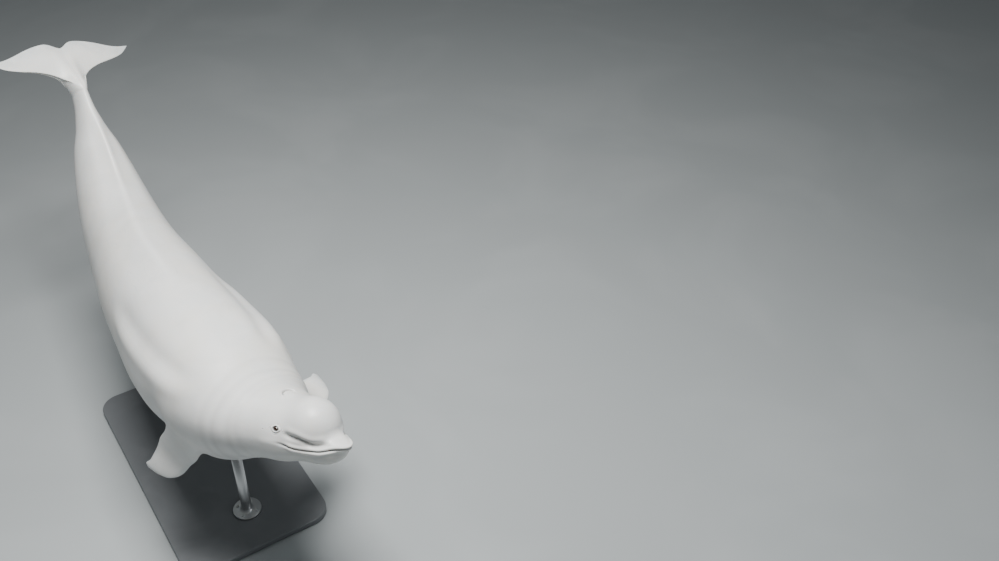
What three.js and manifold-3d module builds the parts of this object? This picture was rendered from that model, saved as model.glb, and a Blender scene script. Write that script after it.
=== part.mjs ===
// Beluga whale, life size, swimming with its tail raised, held by a display stand.
// Lengths are in millimetres and angles in degrees. +X points to the beak, +Y to the whale's left, +Z up.
// The origin is the centre of the underside of the stand's base.
import * as THREE from 'three';
import { mergeVertices } from 'three/addons/utils/BufferGeometryUtils.js';
import Module from 'manifold-3d';

const wasm = await Module();
wasm.setup();

// Driving dimensions of the animal
const LENGTH = 3840; // beak tip to the notch of the flukes
const GAP = 0.3; // parting between two pieces that meet
const FACETS_ROUND = 40; // facets round the trunk

// Sections of the trunk: distance back from the beak tip, half width, rise and drop from the axis
const SECTIONS = [
  [380, 60, 60, 70],
  [570, 275, 192, 221],
  [690, 310, 238, 290],
  [800, 337, 290, 338],
  [955, 372, 350, 356],
  [1110, 381, 396, 358],
  [1410, 373, 423, 368],
  [1715, 345, 430, 376],
  [2020, 319, 420, 364],
  [2400, 268, 390, 306],
  [2780, 216, 304, 220],
  [3160, 134, 202, 138],
  [3310, 77, 152, 109],
  [3460, 44, 102, 79],
  [3615, 34, 78, 59],
  [3840, 30, 23, 19],
];

// Rounded masses of the head: distance back and height of the centre, then half length, width and height
const BEAK = { back: 127, up: -16, half: [149, 67, 32] };
const LOWER_JAW = { back: 175, up: -52, half: [159, 112, 93] };
const MELON = { back: 223, up: 32, half: [147, 136, 144] };
const THROAT = { back: 330, up: -47, half: [200, 142, 92] };
const SKULL = { back: 436, up: -17, half: [218, 197, 178] };

// Partings across the spine, as distances back from the beak tip
const HEAD_END = 450;
const NECK_END = 660;
const CHEST_END = 1300;
const BELLY_END = 2200;
const STOCK_END = 3510;

// Flukes
const FLUKE_SPAN = 930;
const FLUKE_HALF_THICKNESS = 32;
const FLUKE_EDGE = 2; // half thickness of the trailing edge
const SHEET_HALF_HEIGHT = 150; // half height of the thin sheet that parts the flukes
const SHEET_MARGIN = 40; // how far the sheet runs past the flukes

// Edges of a fluke: distance out from the midline, then distance back from the beak tip
const FLUKE_LEADING = [
  [0, 3537],
  [40, 3573],
  [58, 3600],
  [85, 3632],
  [116, 3656],
  [160, 3673],
  [213, 3684],
  [277, 3694],
  [339, 3708],
  [400, 3728],
  [448, 3762],
  [465, 3777],
];
const FLUKE_TRAILING = [
  [0, 3812],
  [26, 3825],
  [65, 3849],
  [100, 3858],
  [150, 3856],
  [200, 3850],
  [250, 3840],
  [337, 3808],
  [410, 3784],
  [465, 3781],
];

// Flippers: share of the length, then how far the leading and trailing edges lie before and behind the middle
const FLIPPER_LENGTH = 425;
const FLIPPER_CHORD = 255;
const FLIPPER_EDGES = [
  [0, 124, -92],
  [0.3, 114, -126],
  [0.55, 80, -152],
  [0.75, 58, -148],
  [0.88, 13, -146],
  [0.96, -55, -160],
  [1, -124, -145],
];
const FLIPPER_CURL = 60; // rise of the tip over the root's plane
const FLIPPER_HALF_THICKNESS = 44;

// Bends of the spine, nose up and nose to the left being positive
const BEND = {
  headYaw: 16.1,
  headPitch: 2.6,
  headRoll: -15.1,
  frontYaw: 5.3,
  frontPitch: 10.1,
  tailYaw: -6.1,
  tailPitch: -61,
  stockYaw: 10.2,
  stockPitch: 16.9,
  tailRoll: -19.7,
};

// Display stand
const BASE_LENGTH = 1700;
const BASE_WIDTH = 900;
const BASE_THICKNESS = 45;
const BASE_CORNER = 120;
const ROD_RADIUS = 30;
const ROD_FLANGE_RADIUS = 85;
const ROD_FLANGE_THICKNESS = 14;
const ROD_FRONT_BACK = 1080; // distance back from the beak tip of the front rod
const ROD_REAR_BACK = 2050;
const AXIS_HEIGHT = 1090; // height of the spine over the floor, above the middle of the base
const BASE_UNDER = 1640; // distance back from the beak tip of the point over the base's centre

// Materials
const skin = new THREE.MeshStandardMaterial({ color: 0xe9eeec, roughness: 0.45, metalness: 0 });
const eyeball = new THREE.MeshStandardMaterial({ color: 0x14100e, roughness: 0.12, metalness: 0 });
const basePaint = new THREE.MeshStandardMaterial({ color: 0x6d7072, roughness: 0.5, metalness: 0 });
const rodSteel = new THREE.MeshStandardMaterial({ color: 0x9a9d9f, roughness: 0.3, metalness: 1 });

const degrees = (angle) => (angle * Math.PI) / 180;
const mix = (a, b, t) => a + (b - a) * t;

// A step from 0 to 1 between two edges, flat at both
function ease(from, to, value) {
  const t = Math.min(Math.max((value - from) / (to - from), 0), 1);
  return t * t * (3 - 2 * t);
}

const bump = (value, centre, width) => Math.exp(-(((value - centre) / width) ** 2));

// A smooth curve through one column of a table of rows, which never overshoots them
function curveThrough(rows, column) {
  const step = rows.slice(1).map((row, i) => row[0] - rows[i][0]);
  const rise = step.map((length, i) => (rows[i + 1][column] - rows[i][column]) / length);
  const slope = rows.map((row, i) => {
    if (i === 0) return rise[0];
    if (i === rows.length - 1) return rise[i - 1];
    if (rise[i - 1] * rise[i] <= 0) return 0;
    const before = 2 * step[i] + step[i - 1];
    const after = step[i] + 2 * step[i - 1];
    return (before + after) / (before / rise[i - 1] + after / rise[i]);
  });
  return (place) => {
    const s = Math.min(Math.max(place, rows[0][0]), rows[rows.length - 1][0]);
    let i = 0;
    while (i < rows.length - 2 && s > rows[i + 1][0]) i += 1;
    const t = (s - rows[i][0]) / step[i];
    return (
      (1 + 2 * t) * (1 - t) ** 2 * rows[i][column] +
      t * (1 - t) ** 2 * step[i] * slope[i] +
      t * t * (3 - 2 * t) * rows[i + 1][column] +
      t * t * (t - 1) * step[i] * slope[i + 1]
    );
  };
}

// Half width, rise and drop of the trunk at a distance back from the beak tip
const halfWidth = curveThrough(SECTIONS, 1);
const rise = curveThrough(SECTIONS, 2);
const drop = curveThrough(SECTIONS, 3);

// The smaller of two distances, with the crease between the two forms rounded over a width
function blend(a, b, width) {
  const t = Math.min(Math.max(0.5 + (0.5 * (b - a)) / width, 0), 1);
  return mix(b, a, t) - width * t * (1 - t);
}

// Distance from a point to one rounded mass, negative inside
function massDistance(p, mass) {
  const q = [p.x + mass.back, p.y, p.z - mass.up];
  const k0 = Math.hypot(q[0] / mass.half[0], q[1] / mass.half[1], q[2] / mass.half[2]);
  const k1 = Math.hypot(q[0] / mass.half[0] ** 2, q[1] / mass.half[1] ** 2, q[2] / mass.half[2] ** 2);
  return (k0 * (k0 - 1)) / Math.max(k1, 1e-9);
}

// Distance from a point to the trunk, an egg-shaped section carried along the axis
function trunkDistance(p) {
  const back = -p.x;
  const width = halfWidth(back);
  const height = p.z > 0 ? rise(back) : drop(back);
  const q = Math.hypot(p.y / width, p.z / height);
  const d = q < 1e-6 ? -Math.min(width, height) : Math.hypot(p.y, p.z) * (1 - 1 / q);
  const before = SECTIONS[0][0] - back;
  return before <= 0 ? d : Math.hypot(before, Math.max(d, 0));
}

// Distance from a point to the animal's surface in its straight form
function fleshDistance(p) {
  let d = blend(massDistance(p, BEAK), massDistance(p, LOWER_JAW), 22);
  d = blend(d, massDistance(p, MELON), 28);
  d = blend(d, massDistance(p, THROAT), 60);
  d = blend(d, massDistance(p, SKULL), 70);
  return -p.x < 300 ? d : blend(d, trunkDistance(p), 110);
}

// Where a ray from inside leaves the surface, found by halving
function surfaceAlong(origin, direction) {
  let inside = 0;
  let outside = 600;
  const p = new THREE.Vector3();
  for (let i = 0; i < 30; i += 1) {
    const middle = (inside + outside) / 2;
    p.copy(origin).addScaledVector(direction, middle);
    if (fleshDistance(p) < 0) inside = middle;
    else outside = middle;
  }
  return p.copy(origin).addScaledVector(direction, inside);
}

// Outward direction of the surface, from the slope of the distance
function outward(p) {
  const e = 0.5;
  const slope = (x, y, z) =>
    fleshDistance(new THREE.Vector3(p.x + x, p.y + y, p.z + z)) -
    fleshDistance(new THREE.Vector3(p.x - x, p.y - y, p.z - z));
  return new THREE.Vector3(slope(e, 0, 0), slope(0, e, 0), slope(0, 0, e)).normalize();
}

// Relief of the trunk that shows from a step away, in millimetres outward
function relief(back, angle) {
  const turn = (centre) => {
    const a = (((angle - centre) % 360) + 540) % 360;
    return a - 180;
  };
  const alongBack = ease(1450, 1750, back) * (1 - ease(3150, 3450, back));
  const ridge = 16 * bump(turn(90), 0, 6) - 5 * (bump(turn(90), 17, 8) + bump(turn(90), -17, 8));
  const neckCrease = -3 * (bump(back, 520, 16) + bump(back, 585, 18) + bump(back, 650, 20));
  const alongFlank = ease(750, 950, back) * (1 - ease(1500, 1800, back));
  const flankFold = (crest, valley) => 14 * bump(turn(crest), 0, 8) - 13 * bump(turn(valley), 0, 8);
  const hollow = -26 * bump(back, 1075, 95) * (bump(turn(188), 0, 20) + bump(turn(-8), 0, 20));
  return alongBack * ridge + neckCrease + alongFlank * (flankFold(30, 44) + flankFold(150, 136)) + hollow;
}

// One ring of the straight animal across its axis
function trunkRing(back, extra = 0) {
  const centre = new THREE.Vector3(-back, 0, 0);
  return Array.from({ length: FACETS_ROUND }, (_, k) => {
    const angle = (360 * k) / FACETS_ROUND;
    const direction = new THREE.Vector3(0, Math.cos(degrees(angle)), Math.sin(degrees(angle)));
    const p = surfaceAlong(centre, direction);
    return p.addScaledVector(direction, relief(back, angle) + extra);
  });
}

// The bent spine, sampled every few millimetres: its points and its forward, left and up directions
const SPINE_STEP = 8;
const spine = (() => {
  const samples = [];
  const point = new THREE.Vector3();
  let previous = null;
  for (let back = 0; back <= LENGTH * 1.06; back += SPINE_STEP) {
    const head = 1 - ease(420, 950, back);
    const front = 1 - ease(800, 1950, back);
    const tail = ease(1950, 3280, back);
    const stock = ease(3380, 3700, back);
    const yaw = degrees(
      BEND.headYaw * head + BEND.frontYaw * front + BEND.tailYaw * tail + BEND.stockYaw * stock,
    );
    const pitch = degrees(
      BEND.headPitch * head + BEND.frontPitch * front + BEND.tailPitch * tail + BEND.stockPitch * stock,
    );
    const roll = degrees(BEND.headRoll * head + BEND.tailRoll * ease(1950, 3650, back));
    const forward = new THREE.Vector3(
      Math.cos(pitch) * Math.cos(yaw),
      Math.cos(pitch) * Math.sin(yaw),
      Math.sin(pitch),
    );
    const level = new THREE.Vector3(-Math.sin(yaw), Math.cos(yaw), 0);
    const left = level.applyAxisAngle(forward, roll);
    const up = new THREE.Vector3().crossVectors(forward, left);
    if (previous) point.addScaledVector(previous.clone().add(forward), -SPINE_STEP / 2);
    samples.push({ point: point.clone(), forward, left, up });
    previous = forward;
  }
  const over = samples[Math.round(BASE_UNDER / SPINE_STEP)].point.clone();
  const place = new THREE.Vector3(-over.x, -over.y, AXIS_HEIGHT - over.z);
  samples.forEach((sample) => sample.point.add(place));
  return samples;
})();

// The spine's point and directions at a distance back from the beak tip
function spineAt(back) {
  const s = Math.max(back, 0) / SPINE_STEP;
  const i = Math.min(Math.floor(s), spine.length - 2);
  const between = (key) => spine[i][key].clone().lerp(spine[i + 1][key], s - i);
  return {
    point: between('point'),
    forward: between('forward').normalize(),
    left: between('left').normalize(),
    up: between('up').normalize(),
  };
}

// Carries a point of the straight animal to its place on the bent spine
function bend(p) {
  const at = spineAt(-p.x);
  return at.point
    .addScaledVector(at.left, p.y)
    .addScaledVector(at.up, p.z)
    .addScaledVector(at.forward, Math.max(p.x, 0));
}

// A closed skin over a stack of rings, each half of a ring split alike, with its ends closed by
// a point in the middle ("fan") or by crossing from one face to the other ("strip")
function loft(rings, startCap = 'fan', endCap = 'fan') {
  const count = rings[0].length;
  const points = rings.flat();
  const faces = [];
  for (let i = 0; i < rings.length - 1; i += 1) {
    for (let k = 0; k < count; k += 1) {
      const next = (k + 1) % count;
      const a = i * count + k;
      const b = i * count + next;
      const c = a + count;
      const d = b + count;
      if (k < count / 2) faces.push([a, b, d], [a, d, c]);
      else faces.push([a, b, c], [b, d, c]);
    }
  }
  const close = (first, cap, turned) => {
    const add = (a, b, c) => faces.push(turned ? [a, c, b] : [a, b, c]);
    if (cap === 'fan') {
      const middle = new THREE.Vector3();
      for (let k = 0; k < count; k += 1) middle.addScaledVector(points[first + k], 1 / count);
      points.push(middle);
      for (let k = 0; k < count; k += 1) add(points.length - 1, first + ((k + 1) % count), first + k);
      return;
    }
    for (let k = 0; k < count / 2; k += 1) {
      const a = first + k;
      const b = first + k + 1;
      const c = first + ((count - k) % count);
      const d = first + count - k - 1;
      if (k > 0) add(a, c, b);
      if (k < count / 2 - 1) add(b, c, d);
    }
  };
  close(0, startCap, false);
  close((rings.length - 1) * count, endCap, true);
  const geometry = new THREE.BufferGeometry();
  geometry.setAttribute('position', new THREE.Float32BufferAttribute(points.flatMap((p) => p.toArray()), 3));
  geometry.setIndex(faces.flat());
  return geometry;
}

// A solid made from a closed geometry, turned right side out
function solidOf(geometry) {
  const bare = geometry.index ? geometry.toNonIndexed() : geometry.clone();
  const plain = new THREE.BufferGeometry().setAttribute('position', bare.getAttribute('position'));
  const merged = mergeVertices(plain, 1e-3);
  const corner = merged.index.array;
  const vertProperties = merged.attributes.position.array;
  const kept = [];
  let volume = 0;
  for (let i = 0; i < corner.length; i += 3) {
    const [a, b, c] = [corner[i], corner[i + 1], corner[i + 2]];
    if (a === b || b === c || c === a) continue;
    kept.push(a, b, c);
    const [p, q, r] = [a, b, c].map((j) => new THREE.Vector3().fromArray(vertProperties, 3 * j));
    volume += p.dot(q.cross(r));
  }
  if (volume < 0) {
    for (let i = 0; i < kept.length; i += 3) [kept[i + 1], kept[i + 2]] = [kept[i + 2], kept[i + 1]];
  }
  const triVerts = new Uint32Array(kept);
  return new wasm.Manifold(new wasm.Mesh({ numProp: 3, vertProperties, triVerts }));
}

// The largest closed surface of a solid
function largest(solid) {
  return solid.decompose().reduce((best, part) => (part.volume() > best.volume() ? part : best));
}

// A geometry made from a solid, each vertex moved by a function of its place
function geometryOf(solid, move = (p) => p) {
  const mesh = solid.getMesh();
  const position = new Float32Array(mesh.numVert * 3);
  for (let i = 0; i < mesh.numVert; i += 1) {
    const p = new THREE.Vector3().fromArray(mesh.vertProperties, i * mesh.numProp);
    move(p).toArray(position, 3 * i);
  }
  const geometry = new THREE.BufferGeometry();
  geometry.setAttribute('position', new THREE.BufferAttribute(position, 3));
  geometry.setIndex(Array.from(mesh.triVerts));
  return geometry;
}

const whale = new THREE.Group();

function addPart(name, geometry, material) {
  geometry.computeVertexNormals();
  const mesh = new THREE.Mesh(geometry, material);
  mesh.name = name;
  whale.add(mesh);
}

// Stations from one parting to the next, each end drawn back by half the gap
function stations(from, to, count) {
  const first = from + GAP / 2;
  const last = to - GAP / 2;
  return Array.from({ length: count + 1 }, (_, i) => mix(first, last, i / count));
}

// A bead or cutter carried along a path on the skin: at each point the section is given in the
// outward direction and across the path, scaled down to a point at both ends of an open path
function sweep(path, profile, closed = false) {
  const rings = path.map((p, i) => {
    const before = path[closed ? (i + path.length - 1) % path.length : Math.max(i - 1, 0)];
    const after = path[closed ? (i + 1) % path.length : Math.min(i + 1, path.length - 1)];
    const along = after.clone().sub(before).normalize();
    const out = outward(p);
    const across = new THREE.Vector3().crossVectors(out, along).normalize();
    const size = closed ? 1 : 0.15 + 0.85 * ease(0, 0.18, Math.min(i, path.length - 1 - i) / path.length);
    return profile.map(([rise, side]) =>
      p.clone().addScaledVector(out, rise * size).addScaledVector(across, side * size),
    );
  });
  if (!closed) return loft(rings);
  const joined = loft([...rings, rings[0]]);
  const count = profile.length;
  const keep = rings.length * count * 6;
  joined.setIndex(Array.from(joined.index.array).slice(0, keep));
  return joined;
}

// A round bead's section, sunk below the skin and shifted across the path
function beadProfile(radius, sunk, shift, sides = 6) {
  return Array.from({ length: sides }, (_, k) => {
    const turn = (2 * Math.PI * (k + 0.5)) / sides;
    return [radius * Math.cos(turn) - sunk, radius * Math.sin(turn) + shift];
  });
}

// Mouth
const MOUTH_CORNER_TURN = 120; // degrees from straight ahead to a corner of the mouth
const MOUTH_CENTRE_BACK = 170;
const mouthHeight = (back) => -20 - 17 * ease(0, 110, back) + 22 * ease(200, 340, back);

// The crease between the melon and the upper lip, in millimetres outward: a soft groove above the
// mouth line, higher on the cheek, with the melon's edge swelling over it
function lipCrease(p) {
  const turn = (Math.atan2(Math.abs(p.y), p.x + MOUTH_CENTRE_BACK) * 180) / Math.PI;
  const above = 30 + 8 * bump(turn, 0, 25) + 28 * ease(60, 108, turn);
  const steep = Math.sqrt(Math.max(1 - outward(p).z ** 2, 0.2));
  const v = (p.z - mouthHeight(-p.x) - above) / steep;
  return ease(22, 50, turn) * (1 - ease(114, 130, turn)) * (5 * bump(v, 28, 16) - 12 * bump(v, 0, 14));
}

function mouthPoint(turn) {
  const direction = new THREE.Vector3(Math.cos(degrees(turn)), Math.sin(degrees(turn)), 0);
  const origin = new THREE.Vector3(-MOUTH_CENTRE_BACK, 0, mouthHeight(0));
  let p = surfaceAlong(origin, direction);
  for (let i = 0; i < 3; i += 1) {
    origin.z = mouthHeight(-p.x);
    p = surfaceAlong(origin, direction);
  }
  return p;
}

// Eye
const EYE_BACK = 318;
const EYE_UP = 50;
const EYE_HALF = [17, 13, 11]; // along the slit, across it and out of the head
const EYE_SUNK = 7;

function eyeAt(side) {
  const centre = surfaceAlong(new THREE.Vector3(-EYE_BACK, 0, EYE_UP), new THREE.Vector3(0, side, 0));
  const out = outward(centre);
  const along = new THREE.Vector3(1, 0, 0).addScaledVector(out, -out.x).normalize();
  const across = new THREE.Vector3().crossVectors(out, along);
  return { centre, out, along, across };
}

function eyeBall(side, extra) {
  const at = eyeAt(side);
  const frame = new THREE.Matrix4().makeBasis(at.along, at.across, at.out);
  frame.setPosition(at.centre.clone().addScaledVector(at.out, -EYE_SUNK));
  const ball = new THREE.SphereGeometry(1, 18, 12);
  ball.deleteAttribute('normal');
  ball.deleteAttribute('uv');
  ball.scale(EYE_HALF[0] + extra, EYE_HALF[1] + extra, EYE_HALF[2] + extra);
  return ball.applyMatrix4(frame);
}

// The lids: one almond ring round the eye
function lidRing(side) {
  const at = eyeAt(side);
  const steps = 26;
  const path = Array.from({ length: steps }, (_, k) => {
    const turn = (2 * Math.PI * k) / steps;
    const slit = Math.sin(turn) * (0.72 + 0.28 * Math.abs(Math.sin(turn)));
    const p = at.centre.clone().addScaledVector(at.along, 22 * Math.cos(turn)).addScaledVector(at.across, 15 * slit);
    return p.addScaledVector(outward(p), -fleshDistance(p));
  });
  return sweep(path, beadProfile(5.5, 1.5, 0), true);
}

// Blowhole: a crescent slit across the top of the head, its horns forward
const BLOWHOLE_BACK = 385;
const BLOWHOLE_LEFT = 8;
const BLOWHOLE_RADIUS = 34;

function blowholePath(radius, halfTurn, steps) {
  return Array.from({ length: steps + 1 }, (_, k) => {
    const turn = degrees(mix(-halfTurn, halfTurn, k / steps));
    const x = -BLOWHOLE_BACK - radius * Math.cos(turn);
    const y = BLOWHOLE_LEFT + radius * Math.sin(turn);
    return surfaceAlong(new THREE.Vector3(x, y, 0), new THREE.Vector3(0, 0, 1));
  });
}

// The head in its straight form: a fan of rings round the beak tip, then rings across the axis
const HEAD_CENTRE = new THREE.Vector3(-190, 0, 0);
const HEAD_FACETS = 60;

function headRings() {
  const rings = [];
  const fanSteps = 17;
  const ring = (origin, makeDirection, back) =>
    Array.from({ length: HEAD_FACETS }, (_, k) => {
      const turn = (2 * Math.PI * k) / HEAD_FACETS;
      const direction = makeDirection(turn);
      const p = surfaceAlong(origin, direction);
      const height = lipCrease(p) + (back > 0 ? relief(back, (turn * 180) / Math.PI) : 0);
      return p.addScaledVector(direction, height);
    });
  for (let i = 0; i < fanSteps; i += 1) {
    const open = mix(degrees(4), Math.PI / 2, i / (fanSteps - 1));
    const makeDirection = (turn) =>
      new THREE.Vector3(Math.cos(open), Math.sin(open) * Math.cos(turn), Math.sin(open) * Math.sin(turn));
    rings.push(ring(HEAD_CENTRE, makeDirection, 0));
  }
  const across = (turn) => new THREE.Vector3(0, Math.cos(turn), Math.sin(turn));
  const rest = 12;
  for (let i = 1; i <= rest; i += 1) {
    const back = mix(-HEAD_CENTRE.x, HEAD_END - GAP / 2, i / rest);
    rings.push(ring(new THREE.Vector3(-back, 0, 0), across, back));
  }
  return rings;
}

// A block through the head below the mouth line, its top raised by a margin: it parts the lower jaw
function jawBlock(margin) {
  const outline = new THREE.Shape();
  outline.moveTo(30, mouthHeight(0) + margin);
  for (let back = 0; back <= 240; back += 15) outline.lineTo(-back, mouthHeight(back) + margin);
  outline.lineTo(-275 - margin, -70);
  outline.lineTo(-305 - margin, -300);
  outline.lineTo(30, -300);
  outline.closePath();
  const width = 700;
  const block = new THREE.ExtrudeGeometry(outline, { depth: width, bevelEnabled: false });
  return block.rotateX(Math.PI / 2).translate(0, width / 2, 0);
}

function buildHead() {
  let head = solidOf(loft(headRings()));
  const mouthSteps = 40;
  const mouth = Array.from({ length: mouthSteps + 1 }, (_, k) =>
    mouthPoint(mix(-MOUTH_CORNER_TURN, MOUTH_CORNER_TURN, k / mouthSteps)),
  );
  const upperLip = sweep(mouth, beadProfile(13, 7, 12));
  const lowerLip = sweep(mouth, beadProfile(13, 6, -12));
  const mouthCut = sweep(mouth, [[12, 8], [12, -8], [-9, 0]]);
  head = head.add(solidOf(upperLip)).add(solidOf(lowerLip));
  for (const side of [-1, 1]) head = head.add(solidOf(lidRing(side)));
  const nostrilRim = sweep(blowholePath(BLOWHOLE_RADIUS + 9, 82, 16), beadProfile(9, 4, 0));
  head = head.add(solidOf(nostrilRim)).subtract(solidOf(mouthCut));
  const nostrilCut = sweep(blowholePath(BLOWHOLE_RADIUS, 74, 16), [[14, 4], [14, -4], [-14, -1.5], [-14, 1.5]]);
  head = head.subtract(solidOf(nostrilCut));
  for (const side of [-1, 1]) head = head.subtract(solidOf(eyeBall(side, GAP)));
  const jaw = largest(head.intersect(solidOf(jawBlock(-GAP / 2))));
  const skull = largest(head.subtract(solidOf(jawBlock(GAP / 2))));
  addPart('head', geometryOf(skull, bend), skin);
  addPart('lower_jaw', geometryOf(jaw, bend), skin);
  for (const [side, name] of [[1, 'eye_left'], [-1, 'eye_right']]) {
    addPart(name, geometryOf(solidOf(eyeBall(side, 0)), bend), eyeball);
  }
}

// Neck, chest, belly and tail stock: lengths of the trunk that meet face to face
const bentRings = (backs, extra = 0) => backs.map((back) => trunkRing(back, extra).map(bend));
const chestStations = stations(NECK_END, CHEST_END, 9);
const bellyStations = stations(CHEST_END, BELLY_END, 10);

function buildTrunk() {
  addPart('neck', geometryOf(solidOf(loft(bentRings(stations(HEAD_END, NECK_END, 9))))), skin);
  addPart('chest', geometryOf(solidOf(loft(bentRings(chestStations)))), skin);
  addPart('belly', geometryOf(solidOf(loft(bentRings(bellyStations)))), skin);
  addPart('tail_stock', geometryOf(solidOf(loft(bentRings(stations(BELLY_END, STOCK_END, 15))))), skin);
}

const leadingBack = curveThrough(FLUKE_LEADING, 1);
const trailingBack = curveThrough(FLUKE_TRAILING, 1);

// One ring of the flukes, from the flat end of the stock (u = 0) out to the trailing edge (u = 1)
function flukeRing(u, start) {
  const edgeOut = mix(halfWidth(STOCK_END), FLUKE_SPAN / 2, u ** 1.15);
  const edgeBack = mix(start, leadingBack(edgeOut), Math.min(u / 0.08, 1));
  return Array.from({ length: FACETS_ROUND }, (_, k) => {
    const turn = (2 * Math.PI * k) / FACETS_ROUND;
    const share = Math.abs(Math.cos(turn)); // 0 on the midline, 1 on the leading edge
    const rimBack = trailingBack((FLUKE_SPAN / 2) * share);
    const back = mix(mix(start, rimBack, u), edgeBack, share ** 2.2);
    const out = edgeOut * Math.cos(turn);
    const keel = bump(out, 0, 55);
    const blade = FLUKE_HALF_THICKNESS * (1 - u) ** 0.6 * mix(1, 0.55, share) + FLUKE_EDGE;
    const root = Math.sin(turn) > 0 ? rise(STOCK_END) : drop(STOCK_END);
    const swept = mix(blade, (1 - u) ** 1.3 * root + 3 * FLUKE_EDGE, keel);
    const half = mix(root, swept, ease(0, 0.22, u));
    return new THREE.Vector3(-back, out, half * Math.sin(turn));
  });
}

function buildFlukes() {
  const start = STOCK_END + GAP / 2;
  const steps = [0, 0.08, 0.17, 0.27, 0.38, 0.5, 0.62, 0.73, 0.83, 0.92, 1];
  const whole = solidOf(loft(steps.map((u) => flukeRing(u, start).map(bend)), 'fan', 'strip'));
  const corners = [[-1, -1], [1, -1], [1, 1], [-1, 1]];
  const sheetRing = (back) =>
    corners.map(([y, z]) => bend(new THREE.Vector3(-back, (y * GAP) / 2, z * SHEET_HALF_HEIGHT)));
  const sheet = loft(stations(STOCK_END - SHEET_MARGIN, LENGTH + SHEET_MARGIN, 24).map(sheetRing));
  const halves = whole.subtract(solidOf(sheet)).decompose();
  const middle = spineAt(LENGTH);
  for (const [side, name] of [[1, 'fluke_left'], [-1, 'fluke_right']]) {
    const half = halves
      .filter((part) => {
        const box = part.boundingBox();
        const centre = new THREE.Vector3().fromArray(box.min).add(new THREE.Vector3().fromArray(box.max));
        return side * centre.multiplyScalar(0.5).sub(middle.point).dot(middle.left) > 0;
      })
      .reduce((best, part) => (part.volume() > best.volume() ? part : best));
    addPart(name, geometryOf(half), skin);
  }
}

// How each flipper is set on the chest: distance back and turn down the side of its root, then its
// sweep back, droop and twist
const FLIPPERS = [
  { name: 'flipper_left', side: 1, back: 860, down: 37, sweep: 20, droop: 34, twist: -12 },
  { name: 'flipper_right', side: -1, back: 918, down: 22.5, sweep: 26, droop: 77, twist: -21 },
];

const leadingEdge = curveThrough(FLIPPER_EDGES, 1);
const trailingEdge = curveThrough(FLIPPER_EDGES, 2);

// The paddle in its own axes: x out along it, y forward across it, z through its thickness
function paddleRing(share) {
  const facets = 20;
  const out = 1 - (1 - share) ** 1.6;
  const chord = leadingEdge(out) - trailingEdge(out);
  const middle = (leadingEdge(out) + trailingEdge(out)) / 2;
  const half = FLIPPER_HALF_THICKNESS * mix(1, 0.18, out) * Math.sqrt(chord / FLIPPER_CHORD);
  return Array.from({ length: facets }, (_, k) => {
    const turn = (2 * Math.PI * k) / facets;
    const y = middle + (chord / 2) * Math.cos(turn);
    const z = half * Math.sin(turn) + FLIPPER_CURL * ease(0.45, 1, out) ** 2;
    return new THREE.Vector3(FLIPPER_LENGTH * out, y, z);
  });
}

function placePaddle(p, set) {
  const at = spineAt(set.back);
  const q = p.clone();
  q.applyAxisAngle(new THREE.Vector3(1, 0, 0), degrees(set.twist));
  q.applyAxisAngle(new THREE.Vector3(0, 0, 1), -degrees(set.sweep));
  q.applyAxisAngle(new THREE.Vector3(0, 1, 0), degrees(set.droop));
  const rootOut = 0.86 * halfWidth(set.back) * Math.cos(degrees(set.down));
  const rootDown = 0.86 * drop(set.back) * Math.sin(degrees(set.down));
  return at.point
    .addScaledVector(at.left, set.side * (rootOut + q.x))
    .addScaledVector(at.forward, q.y)
    .addScaledVector(at.up, q.z - rootDown);
}

function buildFlippers() {
  const chestSpace = solidOf(loft(bentRings(chestStations, GAP * 1.2)));
  const steps = [0, 0.08, 0.16, 0.25, 0.35, 0.45, 0.55, 0.65, 0.75, 0.84, 0.92, 0.97, 1];
  for (const set of FLIPPERS) {
    const rings = steps.map((share) => paddleRing(share).map((p) => placePaddle(p, set)));
    const paddle = solidOf(loft(rings, 'strip', 'strip'));
    addPart(set.name, geometryOf(largest(paddle.subtract(chestSpace))), skin);
  }
}

// The stand: a flat base with rounded corners and two rods with a flange at the foot
function buildStand() {
  const outline = new THREE.Shape();
  const x = BASE_LENGTH / 2 - BASE_CORNER;
  const y = BASE_WIDTH / 2 - BASE_CORNER;
  outline.absarc(x, y, BASE_CORNER, 0, Math.PI / 2);
  outline.absarc(-x, y, BASE_CORNER, Math.PI / 2, Math.PI);
  outline.absarc(-x, -y, BASE_CORNER, Math.PI, 1.5 * Math.PI);
  outline.absarc(x, -y, BASE_CORNER, 1.5 * Math.PI, 2 * Math.PI);
  outline.closePath();
  const base = new THREE.ExtrudeGeometry(outline, { depth: BASE_THICKNESS, bevelEnabled: false, curveSegments: 8 });
  addPart('stand_base', geometryOf(solidOf(base)), basePaint);

  const supports = [
    ['stand_rod_front', ROD_FRONT_BACK, chestStations],
    ['stand_rod_rear', ROD_REAR_BACK, bellyStations],
  ];
  for (const [name, back, backs] of supports) {
    const under = spineAt(back).point;
    const foot = BASE_THICKNESS + GAP;
    const profile = [
      new THREE.Vector2(0, foot),
      new THREE.Vector2(ROD_FLANGE_RADIUS, foot),
      new THREE.Vector2(ROD_FLANGE_RADIUS, foot + ROD_FLANGE_THICKNESS),
      new THREE.Vector2(ROD_RADIUS + 10, foot + ROD_FLANGE_THICKNESS + 6),
      new THREE.Vector2(ROD_RADIUS, foot + ROD_FLANGE_THICKNESS + 26),
      new THREE.Vector2(ROD_RADIUS, under.z - 50),
      new THREE.Vector2(0, under.z - 50),
    ];
    const rod = new THREE.LatheGeometry(profile, 28).rotateX(Math.PI / 2).translate(under.x, under.y, 0);
    const bodySpace = solidOf(loft(bentRings(backs, GAP * 1.2)));
    addPart(name, geometryOf(largest(solidOf(rod).subtract(bodySpace))), rodSteel);
  }
}

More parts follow.
